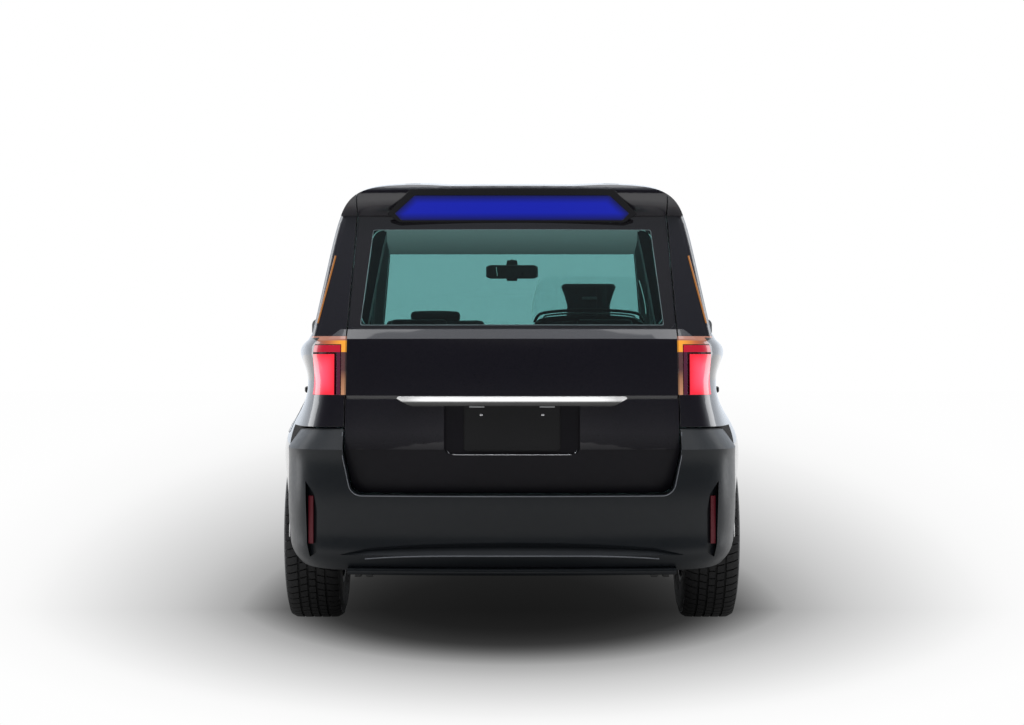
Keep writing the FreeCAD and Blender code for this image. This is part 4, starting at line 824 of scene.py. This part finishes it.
def recess_edge():
    """A chrome bead along the lower edge of the plate's recess as a painted highlight."""
    corners = [(-0.222, 0.655), (-0.216, 0.646), (-0.205, 0.6415)]
    corners += [(-u, v) for u, v in reversed(corners)]
    line = dense([Vector(c) for c in corners], 0.05, False)
    places = from_behind("tailgate", [(u, v - 0.002) for u, v in line], 0.0008)
    rail("recess_edge", places, 0.0014, CHROME, "rear_gate")


# The spoiler's back: its place at one height, its lean and its bow in plan
SPOILER_Y = -1.966
SPOILER_Z = 1.45
SPOILER_LEAN = -0.654
SPOILER_BOW = 0.02
BOARD_T = 0.016


def sign_board(half, lift):
    """A bowed six-sided board across the spoiler, from its corners (half width, height)."""
    (low_x, low), (tip_x, tip), (high_x, high) = half
    corners, faces = [], []
    stations = [-tip_x, -low_x, -high_x] + evenly(-high_x, high_x, 20)[1:-1] + [high_x, low_x, tip_x]
    for x in stations:
        out = abs(x)
        bottom = low + (tip - low) * max(0.0, out - low_x) / (tip_x - low_x)
        top = high + (tip - high) * max(0.0, out - high_x) / (tip_x - high_x)
        for z in (bottom, top):
            y = SPOILER_Y + SPOILER_LEAN * (z - SPOILER_Z) + SPOILER_BOW * x * x - lift
            corners += [Vector((x, y, z)), Vector((x, y + BOARD_T, z))]
    for k in range(len(stations) - 1):
        ring = [4 * k, 4 * k + 2, 4 * k + 3, 4 * k + 1]
        faces += [[ring[i], ring[(i + 1) % 4], ring[(i + 1) % 4] + 4, ring[i] + 4] for i in range(4)]
    return corners, faces


def rear_sign():
    """The lit panel, left blank, in its black surround."""
    piece("sign_surround", sign_board(SURROUND_HALF, 0.0), SURROUND, "rear_gate", bevel=0.0015)
    piece("sign_panel_blank", sign_board(SIGN_HALF, 0.0015), SIGN, "rear_gate")


def bumper_edges():
    """Pale beads along the edges of the gate's opening and of the scoop as painted highlights, and the lip
    under the bumper.
    """
    line = dense(rounded(two_sided([(0.5795, 0.715), (0.581, 0.65), (0.5485, 0.5005, 0.046)])), 0.04, False)
    rail("opening_edge_highlight", from_behind("bumper_rear", line), 0.0016, EDGE_HIGHLIGHT)
    crest = [(x, 0.2985 - 0.012 * (x / 0.5) ** 4) for x in evenly(-0.5, 0.5, 24)]
    rail("scoop_edge_highlight", from_behind("bumper_rear", crest), 0.0022, EDGE_HIGHLIGHT)
    under = from_behind("bumper_rear", [(x, 0.262) for x in evenly(-0.56, 0.56, 24)])
    line = [p + Vector((0, 0.006, -0.019)) for p in under]
    rail("bumper_lip", line, 0.0135, BUMPER)


def corner_strips():
    """The thin amber strips that run up the rear corner posts."""
    for side, sign in SIDES.items():
        line = [(sign * (0.6155 + 0.0565 * share), 1.326 - 0.236 * share) for share in evenly(0.0, 1.0, 8)]
        places = from_behind("body_side_" + side, line, 0.0005)
        rail("corner_strip_" + side, places, 0.0032, AMBER)


def lamp_frames():
    """Black frames round the lit blocks, proud of the lens."""
    for side, sign in SIDES.items():
        corners = [(0.603, 0.846), (0.603, 0.9865), (0.70, 0.9865)]
        line = dense([Vector(c) for c in corners], 0.02, False)
        places = from_behind("lamps_rear", [(sign * u, v) for u, v in line])
        rail("lamp_frame_" + side, places, 0.0022, TRIM, straight=True)


def under_bumper():
    """The exhaust's bright end and the clips under the bumper."""
    pipe = turned([(0.020, -0.05), (0.0235, -0.05), (0.0235, 0.06), (0.020, 0.06)], 40, True, along)
    piece("exhaust_tip", shifted(pipe, -0.30, -1.99, 0.29), CHROME, bevel=0.001)
    for k, x in enumerate((-0.527, -0.487, 0.487, 0.527)):
        clip = box((x - 0.012, -2.10, 0.221), (x + 0.012, -2.05, 0.24))
        piece("bumper_clip_%d" % k, clip, TRIM, bevel=0.003)


# Glass edges and sides

def glass_seals():
    """Rubber beads round every side window."""
    for side, sign in SIDES.items():
        rear_body = "rear_door_right" if sign > 0 else "body"
        for name, outline, body, node in (
            ("front", FRONT_GLASS, "front_door_" + side, "glass_front_" + side),
            ("rear", REAR_GLASS, rear_body, "glass_rear_" + side),
            ("quarter", QUARTER_GLASS, "body", "glass_quarter"),
        ):
            line = dense(inset(rounded(outline, 4), 0.006))
            places = from_side(node, line, sign)
            rail("seal_%s_%s" % (name, side), places, 0.0035, SEAL, body, closed=True, straight=True)
            if name != "quarter":
                low, high = min(u for u, _ in line) + 0.01, max(u for u, _ in line) - 0.01
                belt = from_side(node, [(u, WAIST_Z) for u in evenly(low, high, 12)], sign, 0.001)
                rail("waist_strip_%s_%s" % (name, side), belt, 0.0055, TRIM, body)


def door_sides():
    """Arm rests, inner pulls, speakers, window keys and key barrels."""
    for side, sign in SIDES.items():
        rear_body = "rear_door_right" if sign > 0 else "body"
        front_body = "front_door_" + side
        for name, body, low, high in (("front", front_body, 0.14, 0.66), ("rear", rear_body, -0.80, -0.28)):
            rest = rounded([(low, 0.70, 0.02), (high, 0.72, 0.02), (high, 0.775, 0.03), (low, 0.755, 0.03)])
            reach = sorted((sign * 0.662, sign * 0.735))
            piece("armrest_%s_%s" % (name, side), prism(rest, *reach, across), LINING, body, bevel=0.008)
            grip = [(low + 0.10, 0.80), (low + 0.12, 0.845), (low + 0.26, 0.87), (low + 0.40, 0.85),
                    (low + 0.42, 0.81)]
            arc = [Vector((sign * (0.725 - 0.028 * (0 < k < 4)), u, v)) for k, (u, v) in enumerate(grip)]
            rail("inner_pull_%s_%s" % (name, side), arc, 0.009, TRIM, body)
            ring = turned([(0.0, -0.006), (0.05, -0.006), (0.066, -0.003), (0.072, 0.004)], 40)
            turn = Matrix.Translation((sign * 0.728, low + 0.12, 0.47)) @ Matrix.Scale(sign, 4, (1, 0, 0))
            piece("speaker_%s_%s" % (name, side), moved(ring, turn), TRIM, body)
            keys = [box((-0.008, k * 0.03, 0), (0.012, k * 0.03 + 0.022, 0.006)) for k in range(3)]
            placed = shifted(joined(keys), sign * 0.70, high - 0.16, 0.765)
            piece("window_keys_%s_%s" % (name, side), placed, TRIM, body, bevel=0.002)
        for lock in from_side("door_front_" + side, [(0.005, HANDLE_Z)], sign):
            barrel = turned([(0.0, 0.003), (0.007, 0.003), (0.0095, 0.0015), (0.010, -0.002)], 28)
            turn = Matrix.Translation(lock) @ Matrix.Scale(sign, 4, (1, 0, 0))
            piece("key_barrel_" + side, moved(barrel, turn), CHROME, front_body)


def fuel_flap():
    """The fuel flap's shut line on the left quarter and the small lamps on the front fenders."""
    line = dense(oblong(-1.66, 0.70, -1.50, 0.84, 0.03), 0.03)
    places = from_side("body_side_left", line, -1, -0.0004)
    rail("fuel_flap_line", places, 0.0016, SEAL, closed=True, straight=True)
    for side, sign in SIDES.items():
        seat = from_side("fenders", oblong(0.985, 0.80, 1.045, 0.818, 0.006), sign)
        back = [p - Vector((sign * 0.004, 0, 0)) for p in seat]
        out = [p + Vector((sign * 0.003, 0, 0)) for p in seat]
        piece("side_marker_" + side, between(back, out), AMBER, bevel=0.001)


def mirrors():
    """The outside mirrors' faces and the mirror in the cabin, with a painted glint on its face."""
    for side, sign in SIDES.items():
        body = "front_door_" + side
        face = rounded([(0.858, 1.0, 0.02), (0.952, 1.0, 0.02), (0.952, 1.15, 0.025), (0.858, 1.15, 0.025)])
        face = [(sign * u, v) for u, v in face]
        piece("mirror_face_" + side, prism(face, 0.7885, 0.792, along), MIRROR, body, bevel=0.001)
        frame_line = [along(u, v, 0.7895) for u, v in face]
        rail("mirror_frame_" + side, frame_line, 0.0035, TRIM, body, closed=True, straight=True)
    housing = rounded(two_sided([(0.112, 1.3535, 0.016), (0.1245, 1.386, 0.02), (0.114, 1.4185, 0.016)]))
    piece("cabin_mirror_shell", prism(housing, 0.692, 0.724, along), TRIM, bevel=0.006)
    piece("cabin_mirror_face", prism(inset(housing, 0.006), 0.6895, 0.6925, along), MIRROR_SHADE,
          bevel=0.001)
    # Painted glint: a pale glowing line on the cabin mirror's dark face.
    glint_line = ((-0.07, 1.366), (-0.07, 1.376), (-0.0745, 1.392), (-0.0745, 1.408))
    glint_line = [along(x, z, 0.689) for x, z in glint_line]
    rail("cabin_mirror_glint", glint_line, 0.0013, GLINT_GLOW)
    for name, low, high in (("mount", 1.412, 1.442), ("button", 1.343, 1.358)):
        knob = rounded([(-0.028, low, 0.006), (0.028, low, 0.006), (0.024, high, 0.006),
                        (-0.024, high, 0.006)])
        piece("cabin_mirror_" + name, prism(knob, 0.700, 0.735, along), TRIM, bevel=0.004)


# Front of the cab

SPRING_TURNS = 6
SPRING_R = 0.045


def front_details():
    """A blank front plate, wipers, washer jets and the front coil springs."""
    outline = rounded(two_sided([(PLATE_HALF, 0.50, 0.01), (PLATE_HALF, 0.66, 0.01)]))
    piece("front_plate_blank", prism(outline, 2.1635, 2.1665, along), BLANK, bevel=0.0008)
    for k, (x0, x1) in enumerate(((-0.58, -0.02), (0.02, 0.56))):
        blade = [(x0 + (x1 - x0) * share, AHEAD, 1.118 + 0.012 * share) for share in evenly(0.0, 1.0, 10)]
        places = on_skin("windshield", blade, (0, -1, 0), 0.006)
        rail("wiper_blade_%d" % k, places, 0.0055, TRIM)
        mid = places[len(places) // 2]
        foot = cast("cowl", (x1 - 0.03, mid.y + 0.06, OVERHEAD), (0, 0, -1))[0]
        arm = [foot, foot + Vector((-0.06, 0.005, 0.03)), mid + Vector((0.05, 0.008, 0.008)), mid]
        rail("wiper_arm_%d" % k, arm, 0.0065, TRIM)
    for k, x in enumerate((-0.2, 0.2)):
        place = cast("hood", (x, 1.40, OVERHEAD), (0, 0, -1))[0]
        jet = turned([(0.0, 0.009), (0.006, 0.0085), (0.011, 0.005), (0.013, -0.002)], 24, False, upward)
        piece("washer_jet_%d" % k, moved(jet, Matrix.Translation(place)), TRIM, "engine_lid")
    for side, sign in SIDES.items():
        spring = []
        for k in range(SPRING_TURNS * 12 + 1):
            angle = 2 * math.pi * k / 12
            middle = Vector((sign * 0.478, AXLES["front"], 0.56 + 0.0028 * k))
            spring.append(middle + Vector((math.cos(angle), math.sin(angle), 0)) * SPRING_R)
        rail("coil_spring_" + side, spring, 0.006, CHASSIS)


# Cabin

FILL_STEPS = 20
FILL_PRESSURE = 4.0


def settled(obj):
    """A copy of a mesh as its modifiers leave it."""
    return bpy.data.meshes.new_from_object(obj.evaluated_get(bpy.context.evaluated_depsgraph_get()))


def crowned_mesh(obj, voxel, cap):
    """Fill a pad so that its faces crown, holding how far each place may move."""
    scene = bpy.context.scene
    skin = obj.modifiers.new("skin", "REMESH")
    skin.mode = "VOXEL"
    skin.voxel_size = voxel
    even = settled(obj)
    obj.modifiers.remove(skin)
    obj.data = even
    start = [v.co.copy() for v in even.vertices]
    fill = obj.modifiers.new("fill", "CLOTH")
    fill.settings.use_pressure = True
    fill.settings.uniform_pressure_force = FILL_PRESSURE
    fill.settings.effector_weights.gravity = 0.0
    fill.point_cache.frame_start = 1
    fill.point_cache.frame_end = FILL_STEPS
    for step in range(1, FILL_STEPS + 1):
        scene.frame_set(step)
    swollen = settled(obj)
    for vertex, first, last in zip(even.vertices, start, swollen.vertices):
        way = last.co - first
        vertex.co = first + way * min(1.0, cap / max(way.length, 1e-6))
    obj.modifiers.remove(fill)
    scene.frame_set(1)


def pad(name, shape, round_by, voxel, cap, x=0.0, nodes=(), like=None):
    """A seat pad: its plain form, rounded, filled and smoothed."""
    made = piece(name, shape, SEAT, bevel=round_by, sharp=60.0)
    made.modifiers.clear()
    if like:
        made.data = like.data
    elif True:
        crowned_mesh(made, voxel, cap)
        made.data.materials.clear()
        made.data.materials.append(SEAT)
        for face in made.data.polygons:
            face.use_smooth = True
    made.location = (x, 0, 0)
    smooth = made.modifiers.new("soft", "SUBSURF")
    smooth.levels = smooth.render_levels = 1
    if nodes:
        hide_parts(*nodes)
    return made


def front_seats():
    base = rounded([(-0.05, 0.415, 0.02), (0.415, 0.39, 0.03), (0.42, 0.482, 0.04), (-0.05, 0.515, 0.02)])
    back = rounded([(-0.118, 0.43), (0.022, 0.43, 0.03), (-0.052, 1.149, 0.02), (-0.138, 1.149, 0.02)])
    heads = {
        "right": rounded([(-0.1, 1.13), (0.1, 1.13), (0.098, 1.2, 0.02), (0.124, 1.304, 0.016),
                          (-0.124, 1.304, 0.016), (-0.098, 1.2, 0.02)]),
        "left": rounded([(-0.106, 1.13), (0.106, 1.13), (0.11, 1.177, 0.016), (-0.11, 1.177, 0.016)]),
    }
    base = prism(base, -SEAT_HALF, SEAT_HALF, across)
    back = prism(back, -SEAT_HALF, SEAT_HALF, across)
    cushion = rest = None
    for side, sign in SIDES.items():
        nodes = ("seats_front",) if sign > 0 else ()
        cushion = pad("seat_cushion_" + side, base, 0.03, 0.012, 0.012, sign * SEAT_X, nodes, cushion)
        rest = pad("seat_back_" + side, back, 0.03, 0.012, 0.012, sign * SEAT_X, (), rest)
        head = prism(heads[side], -0.132, -0.068, along)
        pad("head_rest_" + side, head, 0.014, 0.007, 0.006, sign * SEAT_X)
    for side, sign in SIDES.items():
        x = sign * SEAT_X
        foot = box((x - 0.185, 0.01, FLOOR_TOP), (x + 0.185, 0.37, 0.405))
        piece("seat_frame_" + side, foot, TRIM, bevel=0.012)
        for edge in (-0.205, 0.205):
            seam = [Vector((x + edge, y, z)) for y, z in ((-0.142, 0.6), (-0.146, 0.85), (-0.150, 1.05))]
            rail("seat_seam_%s_%d" % (side, edge > 0), seam, 0.003, TRIM)
    slot = prism(oblong(-0.034, -0.0065, 0.034, 0.0065, 0.006), -0.1445, -0.138, along)
    placed = shifted(slot, SEAT_X + 0.003, 0, 1.234)
    piece("head_rest_slot", placed, GREY_SOFT, bevel=0.0015)


def bench():
    base = rounded([(-0.868, 0.262), (-0.432, 0.262), (-0.414, 0.508, 0.04), (-0.868, 0.528)])
    back = rounded([(-0.893, 0.525), (-0.764, 0.525, 0.03), (-0.812, 1.086, 0.03), (-0.893, 1.086, 0.02)])
    top = rounded([(-0.888, 1.082), (-0.832, 1.082), (-0.838, 1.126, 0.016), (-0.884, 1.126, 0.016)])
    cushion = prism(base, -BENCH_HALF, BENCH_HALF, across)
    pad("bench_cushion", cushion, 0.03, 0.018, 0.014, 0.0, ("seat_rear",))
    pad("bench_back", prism(back, -BENCH_HALF, BENCH_HALF, across), 0.025, 0.016, 0.012)
    rest = None
    for side, sign in SIDES.items():
        shape = prism(top, -0.112, 0.112, across)
        rest = pad("bench_rest_" + side, shape, 0.012, 0.007, 0.006, sign * BENCH_REST_X, (), rest)


def hoop(z, y, spread=1.0):
    """Half a loop behind the driver's seat, seen from the back as a low arch."""
    right = [(0.236 * spread, 0.0, -0.040), (0.226 * spread, -0.028, -0.010), (0.19, -0.048, 0.0),
             (0.10, -0.062, 0.008), (0.0, -0.066, 0.010)]
    line = [Vector((SEAT_X - u, y + v, z + w)) for u, v, w in right]
    return line + [Vector((SEAT_X + u, y + v, z + w)) for u, v, w in reversed(right[:-1])]


def shield():
    """Painted glints along the driver screen's cut edges, the loops that stiffen it, and a pale rail under
    them as a painted highlight.
    """
    for side, edge, top in (("inner", 0.087, 0.118), ("outer", 0.583, 0.552)):
        line = []
        for share in evenly(0.0, 1.0, 7):
            x = edge + (top - edge) * share ** 1.6
            bow = 0.065 * ((x - SEAT_X) / 0.26) ** 2
            line.append(Vector((x, -0.2165 + bow, 1.165 + 0.145 * share)))
        rail("shield_edge_" + side, line, 0.0017, GLINT_GLOW)
    rail("shield_loop_upper", hoop(1.171, -0.156), 0.0065, TRIM)
    # Painted highlight: a pale rail for the light band under the upper loop.
    rail("shield_loop_highlight", hoop(1.1575, -0.157, 0.88), 0.004, GREY_SOFT)
    rail("shield_loop_lower", hoop(1.138, -0.154), 0.012, TRIM)


RIM_STITCHES = 12


def dash_details():
    """Vents, instrument hood, a blank middle display, the gear lever, stalks and pedals."""
    hood = rounded([(-0.16, 0.965, 0.01), (0.16, 0.965, 0.01), (0.145, 1.045, 0.05), (-0.145, 1.045, 0.05)])
    hood = shifted(prism(hood, 0.775, 0.93, along), HAND_WHEEL.x, 0, 0)
    piece("instrument_hood", hood, DASH, bevel=0.006)
    face = rounded([(-0.14, 0.975, 0.01), (0.14, 0.975, 0.01), (0.13, 1.032, 0.04), (-0.13, 1.032, 0.04)])
    face = shifted(prism(face, 0.771, 0.776, along), HAND_WHEEL.x, 0, 0)
    piece("instrument_face", face, BLANK, bevel=0.001)
    display = rounded(two_sided([(0.11, 0.86, 0.012), (0.11, 0.985, 0.012)]))
    piece("middle_display", prism(display, 0.722, 0.75, along), BLANK, bevel=0.003)
    for k, x in enumerate((-0.58, -0.19, 0.19, 0.58)):
        heights = [0.905 + 0.016 * i for i in range(4)]
        vanes = [box((x - 0.045, 0.735, z), (x + 0.045, 0.765, z + 0.003)) for z in heights]
        piece("vent_vanes_%d" % k, joined(vanes), TRIM, bevel=0.0008)
        rim = [along(u, v, 0.742) for u, v in oblong(x - 0.052, 0.895, x + 0.052, 0.965, 0.012)]
        rail("vent_rim_%d" % k, rim, 0.0035, CHROME, closed=True, straight=True)
    lever = [Vector((0.06, y, z)) for y, z in ((0.78, 0.79), (0.72, 0.80), (0.67, 0.83))]
    rail("gear_lever", lever, 0.007, CHROME)
    knob = [(0.0, 0.03), (0.014, 0.028), (0.02, 0.015), (0.019, -0.012), (0.009, -0.028), (0.0, -0.03)]
    knob = turned(knob, 28, False, upward)
    piece("gear_knob", shifted(knob, 0.06, 0.66, 0.842), TRIM)
    console = rounded([(0.52, FLOOR_TOP), (1.0, FLOOR_TOP), (1.0, 0.62), (0.80, 0.63, 0.04),
                       (0.55, 0.42, 0.06)])
    piece("middle_console", prism(console, -0.08, 0.08, across), DASH, bevel=0.008)
    for k, x in enumerate((0.28, 0.42)):
        pedal = prism(oblong(-0.035, -0.03, 0.035, 0.03, 0.01), -0.006, 0.006, along)
        turn = Matrix.Translation((x, 0.90, 0.40)) @ Matrix.Rotation(math.radians(-25), 4, "X")
        piece("pedal_%d" % k, moved(pedal, turn), TRIM, bevel=0.003)
        arm = [Vector((x, y, z)) for y, z in ((0.905, 0.40), (0.96, 0.50), (0.985, 0.62))]
        rail("pedal_arm_%d" % k, arm, 0.006, CHASSIS)
    tilt = Matrix.Translation(HAND_WHEEL) @ Matrix.Rotation(WHEEL_TILT, 4, "X")
    for side, sign in SIDES.items():
        reach = ((0.02, -0.075), (0.09, -0.075), (0.15, -0.07))
        stalk = [tilt @ Vector((sign * u, 0.03, w)) for u, w in reach]
        rail("column_stalk_" + side, stalk, 0.006, TRIM)
    pad_face = rounded([(-0.075, -0.055, 0.03), (0.075, -0.055, 0.03), (0.06, 0.05, 0.03),
                        (-0.06, 0.05, 0.03)])
    piece("horn_pad", moved(prism(pad_face, 0.004, 0.022, upward), tilt), DASH, "hand_wheel", bevel=0.006)
    for k in range(RIM_STITCHES):
        angle = 2 * math.pi * (k + 0.5) / RIM_STITCHES
        grip = turned([(0.0158, -0.003), (0.0166, 0.0), (0.0158, 0.003)], 20, True, along)
        place = tilt @ Matrix.Rotation(angle, 4, "Z") @ Matrix.Translation((0.18, 0, 0))
        piece("rim_stitch_%02d" % k, moved(grip, place), GREY_SOFT, "hand_wheel")


def roof_lining():
    """The lining that comes down over the windscreen's head, and the visors."""
    section = [(0.36, 1.60), (0.355, 1.456), (0.335, 1.450), (0.10, 1.492), (-0.12, 1.535), (-0.34, 1.60)]
    piece("roof_lining_head", prism(section, -0.56, 0.56, across), HEADLINER, bevel=0.004)
    for side, sign in SIDES.items():
        visor = rounded([(-0.17, -0.045, 0.02), (0.17, -0.045, 0.02), (0.17, 0.045, 0.03),
                         (-0.17, 0.045, 0.03)])
        turn = Matrix.Translation((sign * 0.33, 0.50, 1.523)) @ Matrix.Rotation(math.radians(62), 4, "X")
        visor = moved(prism(visor, -0.008, 0.008, along), turn)
        piece("sun_visor_" + side, visor, GREY_SOFT, bevel=0.005)


# Studio

# The painted pool of shade on the floor: how bright it is from its middle outward
PAINTED_POOL = [(0.0, 0.008), (0.24, 0.011), (0.34, 0.03), (0.385, 0.09), (0.43, 0.24), (0.47, 0.38), (0.568, 0.6),
        (0.675, 0.74), (0.783, 0.91), (0.852, 0.96), (1.0, 1.0)]
SOFT_BOXES = [
    ("overhead", (0.0, 0.0, 5.0), (0.0, 0.0, 0.0), 6.0, 8.0, 330.0),
    ("side_right", (6.0, 0.5, 2.2), (0.0, 0.0, 1.0), 3.0, 6.0, 130.0),
    ("side_left", (-6.0, 0.5, 2.2), (0.0, 0.0, 1.0), 3.0, 6.0, 130.0),
]


def floor_shade(mat):
    """A pale floor with a painted soft pool of shade that reaches further ahead of the cab than behind it."""
    x, y, _ = mat.axes()
    depth = (y + 9.2).most(2.0)
    beside = x.size() / depth * 3.452
    lengthwise = (-7.27 / depth + 1.0212).most(12.51 / depth - 1.4408)
    away = (beside * beside + lengthwise * lengthwise).sum("SQRT")
    painted_pool = mat.ramped(away, PAINTED_POOL, "B_SPLINE")
    return mat.skin((0.0, 0.0, 0.0), 0.7, emission_color=painted_pool, emission_strength=1.0, specular_ior_level=0.0)


def surround():
    """A white room, seen by the cab's gloss as bright ahead and overhead and dim behind."""
    sky = Finish(bpy.data.worlds.new("studio"))
    _, forward, up = sky.parts(sky.node("ShaderNodeTexCoord", output="Generated"))
    soft = {"interpolation_type": "SMOOTHSTEP"}
    ahead = sky.node("ShaderNodeMapRange", soft, [forward, -0.25, 0.35, 0.035, 1.0])
    above = sky.node("ShaderNodeMapRange", soft, [up, 0.40, 0.95, 0.035, 0.9])
    seen = sky.node("ShaderNodeBackground", None, [(1, 1, 1)])
    around = sky.node("ShaderNodeBackground", None, [(0.86, 0.92, 1.0), ahead.most(above)])
    rays = sky.node("ShaderNodeLightPath", output="Is Camera Ray")
    bpy.context.scene.world = sky.done(sky.either(rays, around, seen), "ShaderNodeOutputWorld")


def studio():
    """The floor, the room round it and three soft boxes."""
    mesh = bpy.data.meshes.new("floor")
    bm = bmesh.new()
    bmesh.ops.create_grid(bm, x_segments=1, y_segments=1, size=60.0)
    bm.to_mesh(mesh)
    bm.free()
    mesh.materials.append(finish("floor_white", floor_shade))
    stood("floor", mesh)
    surround()
    for name, place, aim, wide, high, power in SOFT_BOXES:
        light = bpy.data.lights.new(name, "AREA")
        light.shape = "RECTANGLE"
        light.size, light.size_y, light.energy = wide, high, power
        lamp = stood(name, light)
        lamp.location = place
        lamp.rotation_euler = (Vector(aim) - Vector(place)).to_track_quat("-Z", "Y").to_euler()


def camera():
    made = bpy.data.cameras.new("camera")
    made.lens = CAMERA_LENS
    made.sensor_width = CAMERA_SENSOR
    made.clip_end = 200.0
    stand = stood("camera", made)
    stand.location = CAMERA_AT
    stand.rotation_euler = (math.pi / 2, 0, 0)
    bpy.context.scene.camera = stand
    bpy.context.scene.view_settings.view_transform = "Standard"


finish_nodes()
wheels()
rear_plate()
recess_edge()
rear_sign()
bumper_edges()
corner_strips()
lamp_frames()
under_bumper()
glass_seals()
door_sides()
fuel_flap()
mirrors()
front_details()
front_seats()
bench()
shield()
dash_details()
roof_lining()
studio()
camera()
